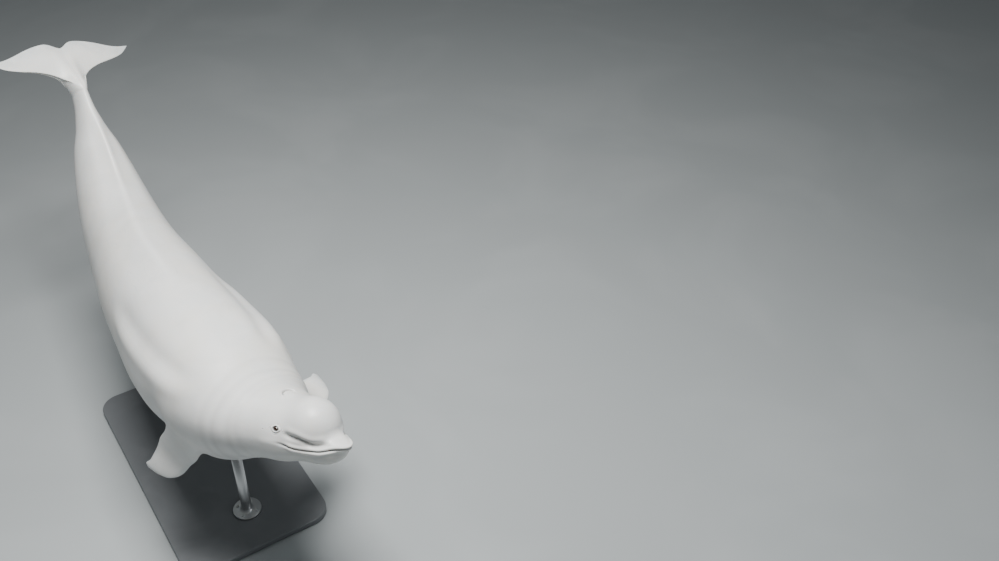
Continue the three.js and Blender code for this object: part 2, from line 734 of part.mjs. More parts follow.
buildHead();
buildTrunk();
buildFlukes();
buildFlippers();
buildStand();

export default whale;
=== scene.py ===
# %% [markdown]
# A full-size model of an adult beluga whale, swimming with its head turned to its left and its tail
# raised, on a plain display stand. A museum would carve such a model in foam over a steel core, lay a
# resin skin over it and paint it. Here the skin is one closed surface, computed as a grid that runs from
# the beak to the flukes, so that no seam shows where the solids of the frame meet. All lengths are in
# metres, and the tables below are written in millimetres and scaled once.

import bpy
import numpy as np
from mathutils import Matrix, Vector, kdtree


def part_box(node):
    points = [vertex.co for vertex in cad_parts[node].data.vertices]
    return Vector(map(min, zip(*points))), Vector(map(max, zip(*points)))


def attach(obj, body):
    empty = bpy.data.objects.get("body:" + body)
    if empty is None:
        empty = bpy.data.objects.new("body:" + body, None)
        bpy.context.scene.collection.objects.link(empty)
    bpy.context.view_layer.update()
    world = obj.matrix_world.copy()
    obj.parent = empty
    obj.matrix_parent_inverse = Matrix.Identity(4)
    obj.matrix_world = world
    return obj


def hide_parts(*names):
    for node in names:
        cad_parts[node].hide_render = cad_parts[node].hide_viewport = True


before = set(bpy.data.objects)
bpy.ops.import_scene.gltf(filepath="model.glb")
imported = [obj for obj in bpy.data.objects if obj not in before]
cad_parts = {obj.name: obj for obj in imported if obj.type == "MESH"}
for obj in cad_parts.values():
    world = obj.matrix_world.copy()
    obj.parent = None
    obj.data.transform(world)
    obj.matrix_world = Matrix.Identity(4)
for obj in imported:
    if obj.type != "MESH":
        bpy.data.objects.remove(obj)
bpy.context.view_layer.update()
MM = 0.001
scene = bpy.context.scene
print("frame nodes:", len(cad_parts))

# %% [markdown]
# The trunk of a whale is easiest to describe as a draughtsman does, with sections across a straight axis:
# how far back each lies, its half width, and how far it rises above the axis and drops below it. A smooth
# curve through each column gives every section between. The head isn't round, so it is made of five
# rounded masses that flow into each other: beak, lower jaw, melon, throat and skull.

# %% Sections of the trunk and masses of the head
LENGTH = 3840 * MM
SECTIONS = MM * np.array([
    [380, 60, 60, 70], [570, 275, 192, 221], [690, 310, 238, 290], [800, 337, 290, 338],
    [955, 372, 350, 356], [1110, 381, 396, 358], [1410, 373, 423, 368], [1715, 345, 430, 376],
    [2020, 319, 420, 364], [2400, 268, 390, 306], [2780, 216, 304, 220], [3160, 134, 202, 138],
    [3310, 77, 152, 109], [3460, 44, 102, 79], [3615, 34, 78, 59], [3840, 30, 23, 19],
])
# Each mass: distance back and height of its centre, then its half length, width and height
MASSES = {
    "beak": MM * np.array([127, -16, 149, 67, 32]),
    "jaw": MM * np.array([175, -52, 159, 112, 93]),
    "melon": MM * np.array([223, 32, 147, 136, 144]),
    "throat": MM * np.array([330, -47, 200, 142, 92]),
    "skull": MM * np.array([436, -17, 218, 197, 178]),
}
# Width over which each mass melts into those before it, and the trunk into the head
BLENDS = {"jaw": 22 * MM, "melon": 28 * MM, "throat": 60 * MM, "skull": 70 * MM}
TRUNK_BLEND = 110 * MM
TRUNK_FROM = 300 * MM
STOCK_END = 3510 * MM


def ease(start, end, value):
    """0 before start, 1 after end, and 3t^2 - 2t^3 between."""
    t = np.clip((value - start) / (end - start), 0, 1)
    return t * t * (3 - 2 * t)


def bump(value, centre, width):
    """exp(-((value - centre) / width)^2)."""
    return np.exp(-(((value - centre) / width) ** 2))


def mix(a, b, t):
    """a where t is 0, b where t is 1."""
    return a + (b - a) * t


def curve_through(rows, column):
    """A cubic between each two rows. The slope at a row is the weighted harmonic mean of the slopes
    beside it, or 0 at a peak, so that the curve never swings past the table."""
    place, value = rows[:, 0], rows[:, column]
    step = np.diff(place)
    rise = np.diff(value) / step
    peak = rise[:-1] * rise[1:] <= 0
    before, after = 2 * step[1:] + step[:-1], step[1:] + 2 * step[:-1]
    left, right = np.where(peak, 1, rise[:-1]), np.where(peak, 1, rise[1:])
    inner = np.where(peak, 0, (before + after) / (before / left + after / right))
    slope = np.concatenate([rise[:1], inner, rise[-1:]])

    def value_at(s):
        s = np.clip(s, place[0], place[-1])
        i = np.clip(np.searchsorted(place, s, side="right") - 1, 0, len(step) - 1)
        h = step[i]
        t = (s - place[i]) / h
        low = (1 + 2 * t) * (1 - t) ** 2 * value[i] + t * (1 - t) ** 2 * h * slope[i]
        return low + t * t * (3 - 2 * t) * value[i + 1] + t * t * (t - 1) * h * slope[i + 1]

    return value_at


half_width = curve_through(SECTIONS, 1)
back_rise = curve_through(SECTIONS, 2)
belly_drop = curve_through(SECTIONS, 3)
print("widest half section:", round(float(half_width(1.41)), 3))

# %% [markdown]
# To melt the masses into one skin, each is a distance function, and two are joined with a smooth
# minimum: within the blend's width the smaller distance is pulled down, which fills the crease between
# them like modelling clay. The surface is where the joined distance is zero. Rays from inside find it
# by halving, all at once.

# %% Distance to the flesh and rays to its surface
def melt(a, b, width):
    """Smooth minimum: mix(b, a, t) - width t (1 - t), with t = 1/2 + (b - a) / (2 width) within 0 to 1."""
    t = np.clip(0.5 + 0.5 * (b - a) / width, 0, 1)
    return mix(b, a, t) - width * t * (1 - t)


def mass_distance(p, mass):
    """k0 (k0 - 1) / k1, where k0 is the length of the point over the half sizes and k1 over their squares."""
    q = p - np.array([-mass[0], 0, mass[1]])
    k0 = np.linalg.norm(q / mass[2:], axis=-1)
    k1 = np.linalg.norm(q / mass[2:] ** 2, axis=-1)
    return k0 * (k0 - 1) / np.maximum(k1, 1e-9)


def trunk_distance(p):
    """r (1 - 1/q) with q the point's size in units of the egg-shaped section; a round nose before it."""
    back = -p[..., 0]
    width = half_width(back)
    height = np.where(p[..., 2] > 0, back_rise(back), belly_drop(back))
    q = np.hypot(p[..., 1] / width, p[..., 2] / height)
    d = np.hypot(p[..., 1], p[..., 2]) * (1 - 1 / np.maximum(q, 1e-6))
    before = np.maximum(SECTIONS[0, 0] - back, 0)
    return np.where(before > 0, np.hypot(before, np.maximum(d, 0)), d)


def flesh_distance(p):
    """The five masses and the trunk, melted together one after the other."""
    d = mass_distance(p, MASSES["beak"])
    for name, width in BLENDS.items():
        d = melt(d, mass_distance(p, MASSES[name]), width)
    return np.where(-p[..., 0] < TRUNK_FROM, d, melt(d, trunk_distance(p), TRUNK_BLEND))


def surface_along(origin, direction, reach=600 * MM, halvings=26):
    """origin + t direction where the distance changes sign, t found by halving 0 to the reach."""
    low = np.zeros(direction.shape[:-1])
    high = np.full(direction.shape[:-1], reach)
    for _ in range(halvings):
        middle = (low + high) / 2
        inside = flesh_distance(origin + middle[..., None] * direction) < 0
        low, high = np.where(inside, middle, low), np.where(inside, high, middle)
    return origin + low[..., None] * direction


def unit(v):
    """v / |v|."""
    return v / np.maximum(np.linalg.norm(v, axis=-1, keepdims=True), 1e-12)


def outward(p, e=0.5 * MM):
    """The gradient of the distance, from central differences."""
    steps = e * np.eye(3)
    return unit(np.stack([flesh_distance(p + s) - flesh_distance(p - s) for s in steps], axis=-1))


# %% [markdown]
# The living shape is bent. The spine is a line that turns by so many degrees of yaw, pitch and roll
# along its length, head first and then the tail, and every section rides on it. The same numbers place
# the solids of the frame, so the skin lies on them.

# %% Spine
BEND = dict(
    head_yaw=16.1, head_pitch=2.6, head_roll=-15.1, front_yaw=5.3, front_pitch=10.1, tail_yaw=-6.1,
    tail_pitch=-61, stock_yaw=10.2, stock_pitch=16.9, tail_roll=-19.7,
)
# Where along the body, in metres from the beak, each turn fades out or comes in
HEAD_TURN = (0.42, 0.95)
FRONT_TURN = (0.8, 1.95)
TAIL_TURN = (1.95, 3.28)
STOCK_TURN = (3.38, 3.7)
TAIL_ROLL = (1.95, 3.65)
AXIS_HEIGHT = 1090 * MM
BASE_UNDER = 1640 * MM
SPINE_STEP = 8 * MM


def make_spine():
    """Forward = (cos p cos y, cos p sin y, sin p), left is level and then rolled about forward, up is
    their cross product, and the points are the running sum of forward."""
    s = np.arange(0, 1.06 * LENGTH, SPINE_STEP)
    head, front = 1 - ease(*HEAD_TURN, s), 1 - ease(*FRONT_TURN, s)
    tail, stock = ease(*TAIL_TURN, s), ease(*STOCK_TURN, s)
    b = {key: np.radians(value) for key, value in BEND.items()}
    yaw = b["head_yaw"] * head + b["front_yaw"] * front + b["tail_yaw"] * tail + b["stock_yaw"] * stock
    pitch = b["head_pitch"] * head + b["front_pitch"] * front
    pitch = pitch + b["tail_pitch"] * tail + b["stock_pitch"] * stock
    roll = b["head_roll"] * head + b["tail_roll"] * ease(*TAIL_ROLL, s)
    forward = np.stack([np.cos(pitch) * np.cos(yaw), np.cos(pitch) * np.sin(yaw), np.sin(pitch)], axis=-1)
    level = np.stack([-np.sin(yaw), np.cos(yaw), np.zeros_like(yaw)], axis=-1)
    left = level * np.cos(roll)[:, None] + np.cross(forward, level) * np.sin(roll)[:, None]
    point = np.zeros_like(forward)
    point[1:] = -np.cumsum((forward[1:] + forward[:-1]) * SPINE_STEP / 2, axis=0)
    over = point[round(BASE_UNDER / SPINE_STEP)]
    point += np.array([-over[0], -over[1], AXIS_HEIGHT - over[2]])
    return s, point, forward, left, np.cross(forward, left)


SPINE = make_spine()


def spine_at(back):
    """The spine's point and its forward, left and up directions, straight between its samples."""
    s = np.maximum(back, 0)
    found = [np.stack([np.interp(s, SPINE[0], a[:, k]) for k in range(3)], axis=-1) for a in SPINE[1:]]
    return [found[0]] + [unit(v) for v in found[1:]]


def bend(p):
    """C(s) + y left + z up, and past the beak tip along forward."""
    point, forward, left, up = spine_at(-p[..., 0])
    ahead = np.maximum(p[..., 0:1], 0)
    return point + p[..., 1:2] * left + p[..., 2:3] * up + ahead * forward


print("beak tip at", np.round(bend(np.zeros(3)), 3))

# %% [markdown]
# The features of the head are shallow forms on that surface: the line of the mouth between two soft
# lips, the eyelids round a sunken socket, the crescent of the blowhole with its rim, the pinhole of the
# ear and the folds of the neck. On clay they would be pressed in and rolled up with a tool. Here each
# is a height that is added along the surface's own outward direction, as a function of how far a point
# lies from the line of the feature.

# %% Mouth
MOUTH_CORNER_TURN = 120
MOUTH_CENTRE_BACK = 170 * MM


def mouth_height(back):
    """The mouth line's height: it dips from the tip to the cheek, then rises to the corner."""
    return MM * (-20 - 17 * ease(0, 0.11, back) + 22 * ease(0.2, 0.34, back))


def from_mouth_line(p, out):
    """The distance v above the mouth line along the skin, in mm, and the turn from straight ahead."""
    steep = np.sqrt(np.clip(1 - out[..., 2] ** 2, 0.2, 1))
    v = (p[..., 2] - mouth_height(-p[..., 0])) / steep / MM
    return v, steep, np.degrees(np.arctan2(np.abs(p[..., 1]), p[..., 0] + MOUTH_CENTRE_BACK))


def lip_crease(p, out):
    """The crease between melon and upper lip: 12 mm deep, with the melon's edge swelling 5 mm above it.
    It runs 30 mm over the mouth line in front, 28 mm more on the cheek, and ends before the eye. The
    second value is a mask of painted shade along the crease."""
    v, steep, turn = from_mouth_line(p, out)
    v = v - (30 + 8 * bump(turn, 0, 25) + 28 * ease(60, 108, turn)) / steep
    along = ease(22, 50, turn) * (1 - ease(114, 130, turn))
    # painted shade mask along the bottom of the crease
    return MM * along * (5 * bump(v, 28, 16) - 12 * bump(v, 0, 14)), along * bump(v, 0, 11)


def mouth_relief(p, out):
    """Heights over the distance v from the mouth line: a roll 12 mm above it and one 12 mm below it for
    the lips, a narrow cut between them, and a dimple and a soft jowl where the line ends. The second
    value is painted shade in the cut and in the dimple."""
    v, _, turn = from_mouth_line(p, out)
    along = 1 - ease(MOUTH_CORNER_TURN - 8, MOUTH_CORNER_TURN + 6, turn)
    cut = 1 - ease(MOUTH_CORNER_TURN - 2, MOUTH_CORNER_TURN + 4, turn)
    lips = 6 * bump(v, 12, 9) + 7 * bump(v, -12, 10) + 2 * bump(v, 0, 12)
    groove = -11 * bump(v, 0, 3.2)
    dimple = -5 * bump(turn, MOUTH_CORNER_TURN + 3, 5) * bump(v, 1, 7)
    jowl = 3 * bump(turn, MOUTH_CORNER_TURN + 13, 8) * bump(v, -4, 22)
    # painted shade: darker along the cut of the mouth and in the dimple at its corner
    crease_shade = cut * bump(v, 0, 3.4) + 0.6 * bump(turn, MOUTH_CORNER_TURN + 3, 5) * bump(v, 1, 6)
    return MM * (along * lips + cut * groove + dimple + jowl), np.clip(crease_shade, 0, 1)


# %% Eyes and ears
EYE_BACK = 318 * MM
EYE_UP = 50 * MM
EYE_HALF = MM * np.array([17, 13, 11])
EYE_SUNK = 7 * MM
LID_HALF = MM * np.array([22, 15])


def eye_frame(side):
    """The eye's centre on the skin and its directions along the slit, across it and out."""
    centre = surface_along(np.array([-EYE_BACK, 0, EYE_UP]), np.array([0.0, side, 0.0]))
    out = outward(centre)
    along = unit(np.array([1.0, 0, 0]) - out * out[0])
    return centre, along, np.cross(out, along), out


def eye_relief(p):
    """Heights over r, the size of an almond round the eye: a roll at 1 for the lids, the socket inside
    it, and two faint folds round it. The ear is a pinhole behind and below. The second value is
    painted shade in the socket, in the first fold and in the ear's pinhole."""
    height, crease_shade = np.zeros(p.shape[:-1]), np.zeros(p.shape[:-1])
    for side in (-1.0, 1.0):
        centre, along, across, _ = eye_frame(side)
        q = p - centre
        u, v = q @ along / LID_HALF[0], q @ across / LID_HALF[1]
        near = np.linalg.norm(q, axis=-1) < 75 * MM
        r = np.where(near, np.hypot(u, v / np.clip(1 - 0.33 * u * u, 0.4, 1)), 9)
        lids = 4.6 * bump(r, 1, 0.24) - 13 * (1 - ease(0.56, 0.82, r))
        folds = -1.7 * bump(r, 1.5, 0.15) + 0.9 * bump(r, 1.75, 0.16) - 0.9 * bump(r, 2.05, 0.16)
        ear = np.hypot((q @ along) + 70 * MM, (p[..., 2] - EYE_UP + 10 * MM)) / MM
        ear = np.where(p[..., 1] * side > 0, ear, 99)
        height += lids + folds - 4 * bump(ear, 0, 2.6) + 0.8 * bump(ear, 5, 3)
        # painted shade: darker in the socket round the eyeball, along the first fold and in the ear's pinhole
        crease_shade += (1 - ease(0.7, 0.9, r)) + 0.45 * bump(r, 1.5, 0.14) + 0.9 * bump(ear, 0, 2.4)
    return MM * height, np.clip(crease_shade, 0, 1)


# %% Blowhole and neck
BLOWHOLE = MM * np.array([-385, 8])
BLOWHOLE_RADIUS = 34
NECK_FOLDS = [(512, 1.6, 15), (560, 2.4, 12), (618, 2.6, 14), (690, 1.8, 18)]


def blowhole_relief(p):
    """Heights over the distance from an arc that bulges backwards: a rim behind it, the slit, and the
    plug of the nostril swelling a little inside it. The slit's mask is returned as well, as painted
    shade in the slit."""
    x, y = (BLOWHOLE[0] - p[..., 0]) / MM, (p[..., 1] - BLOWHOLE[1]) / MM
    radius, turn = np.hypot(x, y), np.degrees(np.arctan2(y, x))
    top = p[..., 2] > 0.05
    open_arc = top * (1 - ease(62, 78, np.abs(turn)))
    rim = top * (1 - ease(70, 100, np.abs(turn)))
    slit = open_arc * bump(radius, BLOWHOLE_RADIUS, 3)
    plug = top * (1 - ease(18, 31, radius))
    height = -12 * slit + 5.5 * rim * bump(radius, BLOWHOLE_RADIUS + 9, 6.5) + 2.2 * plug
    # the slit's mask also serves as painted shade in the slit
    return MM * height, slit


def turned(angle, centre):
    """The signed angle from centre, within a half turn either way."""
    return (angle - centre + 180) % 360 - 180


def neck_relief(back, angle):
    """Folds across the neck, d / (1 + (x/w)^2) deep, deeper on the inner side of the turn."""
    height = np.zeros(np.broadcast(back, angle).shape)
    inner = 0.3 + 0.7 * bump(turned(angle, -20), 0, 60) + 0.35 * bump(turned(angle, 200), 0, 60)
    for k, (place, depth, width) in enumerate(NECK_FOLDS):
        wander = 6 * np.sin(np.radians(3 * angle + 70 * k)) + 9 * np.sin(np.radians(angle + 130 * k))
        x = back / MM - place - wander
        height = height - depth * inner / (1 + (x / width) ** 2)
        height = height + 0.35 * depth * inner * bump(x, 26, 14)
    return MM * height * ease(0.45, 0.52, back) * (1 - ease(0.76, 0.86, back))


def trunk_relief(back, angle):
    """The ridge along the back, a long soft fold of fat on each flank, and a hollow behind each flipper."""
    ridge = 16 * bump(turned(angle, 90), 0, 6) - 5 * bump(np.abs(turned(angle, 90)), 17, 8)
    ridge = ridge * ease(1.45, 1.75, back) * (1 - ease(3.15, 3.45, back))
    flank = ease(0.75, 0.95, back) * (1 - ease(1.5, 1.8, back))
    fold = 14 * bump(turned(angle, 30), 0, 8) - 13 * bump(turned(angle, 44), 0, 8)
    fold = fold + 14 * bump(turned(angle, 150), 0, 8) - 13 * bump(turned(angle, 136), 0, 8)
    hollow = bump(back, 1.075, 0.095) * (bump(turned(angle, 188), 0, 20) + bump(turned(angle, -8), 0, 20))
    return MM * (ridge + flank * fold - 26 * hollow)


# %% [markdown]
# The grid needs fine squares only where there is fine form. Stations along the body and angles round
# it are spread by a spacing that shrinks at the eyes, the mouth and the blowhole. The grid's pole is on
# the mouth line at the beak tip, and the origins of the rays follow the mouth line back, so that one
# column of the grid runs in the groove on each side. Behind the neck half the columns are enough.

# %% Stations and angles of the grid
HEAD_COLUMNS = 228
TRUNK_COLUMNS = 114
FAN_BACK = 190 * MM
NECK_END = 740 * MM
TRUNK_STEP = 20 * MM


def spread(start, end, spacing, samples=4000):
    """Places from start to end whose steps follow spacing(place): equal steps of the integral of
    1 / spacing."""
    x = np.linspace(start, end, samples)
    share = np.concatenate([[0], np.cumsum(1 / spacing((x[1:] + x[:-1]) / 2))])
    count = int(np.ceil(share[-1] * (end - start) / (samples - 1)))
    return np.interp(np.linspace(0, share[-1], count + 1), share, x)


def dense_angles(count, peaks):
    """count angles round the section, closer together round each peak (angle, gain, width)."""
    x = np.linspace(0, 360, 3601)
    density = 1 + sum(gain * bump(turned(x, centre), 0, width) for centre, gain, width in peaks)
    share = np.concatenate([[0], np.cumsum((density[1:] + density[:-1]) / 2)])
    return np.interp(np.arange(count) / count * share[-1], share, x)


head_angles = dense_angles(HEAD_COLUMNS, [(8, 2.2, 17), (172, 2.2, 17), (90, 1.6, 17)])
trunk_angles = dense_angles(TRUNK_COLUMNS, [(90, 1.4, 12), (-9, 0.6, 20), (189, 0.6, 20)])
# The trunk's angles with one more halfway between each two, for rows that pass from head to trunk
halfway_angles = (trunk_angles + np.append(trunk_angles[1:], trunk_angles[0] + 360)) / 2
even_to_trunk = np.stack([trunk_angles, halfway_angles], axis=-1).ravel()
fan_opens = np.radians(spread(0.25, 90, lambda x: 0.25 + 0.85 * ease(0, 14, x)))


def head_spacing(s):
    """Row spacing on the head: finest at the eyes, then the blowhole, widening down the neck."""
    fine = mix(3.0 * MM, 1.7 * MM, ease(0.26, 0.28, s) - ease(0.34, 0.36, s))
    return mix(mix(fine, 2.4 * MM, ease(0.36, 0.38, s)), 8 * MM, ease(0.43, 0.6, s))


head_backs = spread(FAN_BACK, NECK_END, head_spacing)[1:]
trunk_backs = spread(NECK_END, STOCK_END, lambda s: TRUNK_STEP + 0 * s)[1:]
print("rows:", len(fan_opens), len(head_backs), len(trunk_backs))

# %% Rows of the skin in its straight form
def ring_origins(opens):
    """For each row of the fan, the height of its rays' origin, so that its side rays meet the mouth."""
    height = np.full(len(opens), mouth_height(0.0))
    side = np.stack([np.cos(opens), np.sin(opens), 0 * opens], axis=-1)
    for _ in range(4):
        origin = np.stack([np.full(len(opens), -FAN_BACK), 0 * opens, height], axis=-1)
        height = mouth_height(-surface_along(origin, side)[:, 0])
    return np.stack([np.full(len(opens), -FAN_BACK), 0 * opens, height], axis=-1)


def detailed(p, back, angle):
    """The straight skin with its features raised and cut along the outward direction, and how much
    painted shade each point gets in its creases: the strongest of the features that meet there."""
    out = outward(p)
    mouth, mouth_shade = mouth_relief(p, out)
    lip, lip_shade = lip_crease(p, out)
    eyes, eye_shade = eye_relief(p)
    nostril, nostril_shade = blowhole_relief(p)
    neck = neck_relief(back, angle)
    # painted shade: darker where the neck folds are deep, then the strongest painted shade of all features
    neck_shade = np.clip(-neck / (8 * MM), 0, 0.6)
    shades = [mouth_shade, eye_shade, nostril_shade, 0.35 * lip_shade, neck_shade]
    return p + (mouth + lip + eyes + nostril + neck)[..., None] * out, np.maximum.reduce(shades)


def head_rows():
    """The fan of cones round the beak tip, then sections across the axis to the neck."""
    a = np.radians(head_angles)
    ring = np.stack([0 * a, np.cos(a), np.sin(a)], axis=-1)
    ahead = np.array([1.0, 0, 0])
    fan = np.cos(fan_opens)[:, None, None] * ahead + np.sin(fan_opens)[:, None, None] * ring
    fan = surface_along(ring_origins(fan_opens)[:, None, :] + 0 * fan, fan)
    even = ease(0.45, 0.7, head_backs)[:, None]
    angles = mix(head_angles[None, :], even_to_trunk[None, :], even)
    b = np.radians(angles)
    across = np.stack([0 * b, np.cos(b), np.sin(b)], axis=-1)
    lift = mouth_height(head_backs) * (1 - ease(0.3, 0.45, head_backs))
    origin = np.stack([-head_backs, 0 * head_backs, lift], axis=-1)[:, None, :] + 0 * across
    rest = surface_along(origin, across)
    p = np.concatenate([fan, rest])
    back = np.concatenate([0 * fan[..., 0], np.broadcast_to(head_backs[:, None], rest.shape[:2])])
    turn = np.degrees(np.arctan2(p[..., 2], p[..., 1]))
    return detailed(p, back, turn)


def trunk_rows():
    """Sections across the axis with the ridge, the flank folds and the last of the neck folds."""
    a = np.radians(trunk_angles)
    ring = np.broadcast_to(np.stack([0 * a, np.cos(a), np.sin(a)], axis=-1), (len(trunk_backs), len(a), 3))
    origin = np.stack([-trunk_backs, 0 * trunk_backs, 0 * trunk_backs], axis=-1)[:, None, :] + 0 * ring
    p = surface_along(origin, ring)
    relief = trunk_relief(trunk_backs[:, None], trunk_angles[None, :])
    relief = relief + neck_relief(trunk_backs[:, None], trunk_angles[None, :])
    return p + relief[..., None] * ring, 0 * relief


head_grid, head_crease_shade = head_rows()
trunk_grid, trunk_crease_shade = trunk_rows()
print("head grid", head_grid.shape, "trunk grid", trunk_grid.shape)

# %% [markdown]
# The flukes grow out of the tail stock as one form: the section of the stock widens into two blades,
# the leading edges sweep back to the tips, and the trailing edge has a lobe on each side of the notch.
# Because the rows keep the order of the columns, the tail needs no joint at all.

# %% Flukes
FLUKE_SPAN = 930 * MM
FLUKE_HALF_THICKNESS = 32 * MM
FLUKE_EDGE = 2 * MM
# Edges of one fluke: distance out from the midline and distance back
FLUKE_LEADING = MM * np.array([
    [0, 3537], [40, 3573], [58, 3600], [85, 3632], [116, 3656], [160, 3673], [213, 3684], [277, 3694],
    [339, 3708], [400, 3728], [448, 3762], [465, 3777],
])
FLUKE_TRAILING = MM * np.array([
    [0, 3812], [26, 3825], [65, 3849], [100, 3858], [150, 3856], [200, 3850], [250, 3840], [337, 3808],
    [410, 3784], [465, 3781],
])
leading_back = curve_through(FLUKE_LEADING, 1)
trailing_back = curve_through(FLUKE_TRAILING, 1)
fluke_angles = even_to_trunk


def fluke_rows(steps=60):
    """For u from the stock to the trailing edge, the outline moves from the stock's section to the rim.
    Away from the keel in the middle, half the thickness falls as (1 - u)^0.6."""
    u = (1 - (1 - np.linspace(0, 1, steps + 1)[1:]) ** 1.35)[:, None]
    a = np.radians(fluke_angles)[None, :]
    share = np.abs(np.cos(a))
    edge_out = mix(half_width(STOCK_END), FLUKE_SPAN / 2, u**1.15)
    edge_back = mix(STOCK_END, leading_back(edge_out), np.minimum(u / 0.08, 1))
    rim = trailing_back(FLUKE_SPAN / 2 * share)
    back = mix(mix(STOCK_END, rim, u), edge_back, share**2.2)
    y = edge_out * np.cos(a)
    keel = bump(y, 0, 55 * MM)
    blade = FLUKE_HALF_THICKNESS * (1 - u) ** 0.6 * mix(1, 0.55, share) + FLUKE_EDGE
    root = np.where(np.sin(a) > 0, back_rise(STOCK_END), belly_drop(STOCK_END))
    swept = mix(blade, (1 - u) ** 1.3 * root + 3 * FLUKE_EDGE, keel)
    half = mix(root, swept, ease(0, 0.22, u))
    return np.stack([-back + 0 * y, y, half * np.sin(a)], axis=-1), ease(0.72, 1, u) + 0 * y


fluke_grid, fluke_margin = fluke_rows()
print("fluke grid", fluke_grid.shape)

# %% [markdown]
# Blender needs the grid as vertices and faces. Rings of equal count are joined by squares, and where the
# count halves or doubles by triangles, two fine steps to one wide step. The beak ends in a point and
# the flukes in a strip that joins their upper to their lower edge, so the skin is closed.

# %% Rings to a closed mesh
def ring_quads(index, reverse=False):
    """The squares between the rings of a grid of point numbers, each ring closed on itself."""
    a, b = index[:-1], index[1:]
    c, d = np.roll(b, -1, 1), np.roll(a, -1, 1)
    corners = (a, b, c, d) if reverse else (a, d, c, b)
    return np.stack(corners, axis=-1).reshape(-1, 4)


def strip_cap(ring):
    """Squares and two triangles that close a flat ring by joining its one side to the other."""
    half = len(ring) // 2
    k = np.arange(1, half - 1)
    quads = np.stack([ring[k], ring[-k], ring[-k - 1], ring[k + 1]], axis=-1)
    tris = np.array([[ring[0], ring[-1], ring[1]], [ring[half], ring[half - 1], ring[half + 1]]])
    return quads, tris


def joined_rings(rings, pole):
    """Faces between rings: squares, or triangles where one ring has twice as many points."""
    starts = np.cumsum([1] + [len(r) for r in rings])
    quads, tris = [], []
    first = starts[0] + np.arange(len(rings[0]))
    tris.append(np.stack([np.zeros_like(first), first, np.roll(first, -1)], axis=-1))
    for i in range(len(rings) - 1):
        a = starts[i] + np.arange(len(rings[i]))
        b = starts[i + 1] + np.arange(len(rings[i + 1]))
        if len(a) == len(b):
            quads.append(np.stack([a, b, np.roll(b, -1), np.roll(a, -1)], axis=-1))
        elif len(a) == 2 * len(b):
            c, d, e = a[0::2], a[1::2], np.roll(a[0::2], -1)
            g = np.roll(b, -1)
            tris += [np.stack(t, axis=-1) for t in ((c, b, d), (d, b, g), (d, g, e))]
        else:
            c, d, e = b[0::2], b[1::2], np.roll(b[0::2], -1)
            g = np.roll(a, -1)
            tris += [np.stack(t, axis=-1) for t in ((a, c, d), (a, d, g), (g, d, e))]
    cap_quads, cap_tris = strip_cap(starts[len(rings) - 1] + np.arange(len(rings[-1])))
    quads.append(cap_quads)
    tris.append(cap_tris)
    points = np.concatenate([pole[None]] + list(rings))
    return points, np.concatenate(quads), np.concatenate(tris)


def mesh_object(name, points, quads, tris):
    """A mesh object with smooth faces from arrays of points, squares and triangles."""
    mesh = bpy.data.meshes.new(name)
    mesh.from_pydata(points.tolist(), [], quads.tolist() + tris.tolist())
    mesh.polygons.foreach_set("use_smooth", np.ones(len(mesh.polygons), dtype=bool))
    mesh.update()
    obj = bpy.data.objects.new(name, mesh)
    scene.collection.objects.link(obj)
    return obj


def coordinates(obj):
    """The vertices of an object's mesh as an array."""
    flat = np.empty(3 * len(obj.data.vertices), dtype=np.float32)
    obj.data.vertices.foreach_get("co", flat)
    return flat.reshape(-1, 3).astype(float)


body_rings = list(head_grid) + list(trunk_grid) + list(fluke_grid)
pole = head_grid[0].mean(axis=0)
straight_points, body_quads, body_tris = joined_rings(body_rings, pole)
# painted shade of the creases at each point of the skin, full at the beak's pole
body_crease_shade = np.concatenate([[1.0], head_crease_shade.ravel(), trunk_crease_shade.ravel(), 0 * fluke_margin.ravel()])
body_margin = np.concatenate([[0.0], 0 * head_crease_shade.ravel(), 0 * trunk_crease_shade.ravel(), fluke_margin.ravel()])
skin = mesh_object("skin", bend(straight_points), body_quads, body_tris)
print("skin:", len(skin.data.vertices), "points")

# %% [markdown]
# A beluga's flipper is a short broad paddle with a hooked tip that curls up in old animals. It is a
# stack of lens-shaped sections along its length, turned into place with the same angles as the frame's.
# Where it leaves the chest the real skin flows over from one to the other, so its root is flared.

# %% Flippers
FLIPPER_LENGTH = 425 * MM
FLIPPER_CHORD = 255 * MM
FLIPPER_HALF_THICKNESS = 44 * MM
FLIPPER_CURL = 60 * MM
ROOT_DEPTH = 0.86
FLARE_HEIGHT = 14 * MM
FLARE_REACH = 20 * MM
# Edges of the paddle: share of its length, then how far the leading and trailing edges lie ahead
FLIPPER_EDGES = np.array([1, MM, MM]) * np.array([
    [0, 124, -92], [0.3, 114, -126], [0.55, 80, -152], [0.75, 58, -148], [0.88, 13, -146],
    [0.96, -55, -160], [1, -124, -145],
])
FLIPPERS = {
    "left": dict(side=1, back=0.86, down=37, sweep=20, droop=34, twist=-12),
    "right": dict(side=-1, back=0.918, down=22.5, sweep=26, droop=77, twist=-21),
}
leading_edge = curve_through(FLIPPER_EDGES, 1)
trailing_edge = curve_through(FLIPPER_EDGES, 2)


def turned_about(p, axis, angle):
    """p turned about a unit axis: p cos a + (axis x p) sin a + axis (axis . p)(1 - cos a)."""
    a = np.radians(angle)
    axis = np.array(axis, float)
    along = np.outer(p @ axis, axis).reshape(p.shape)
    return p * np.cos(a) + np.cross(axis, p) * np.sin(a) + along * (1 - np.cos(a))


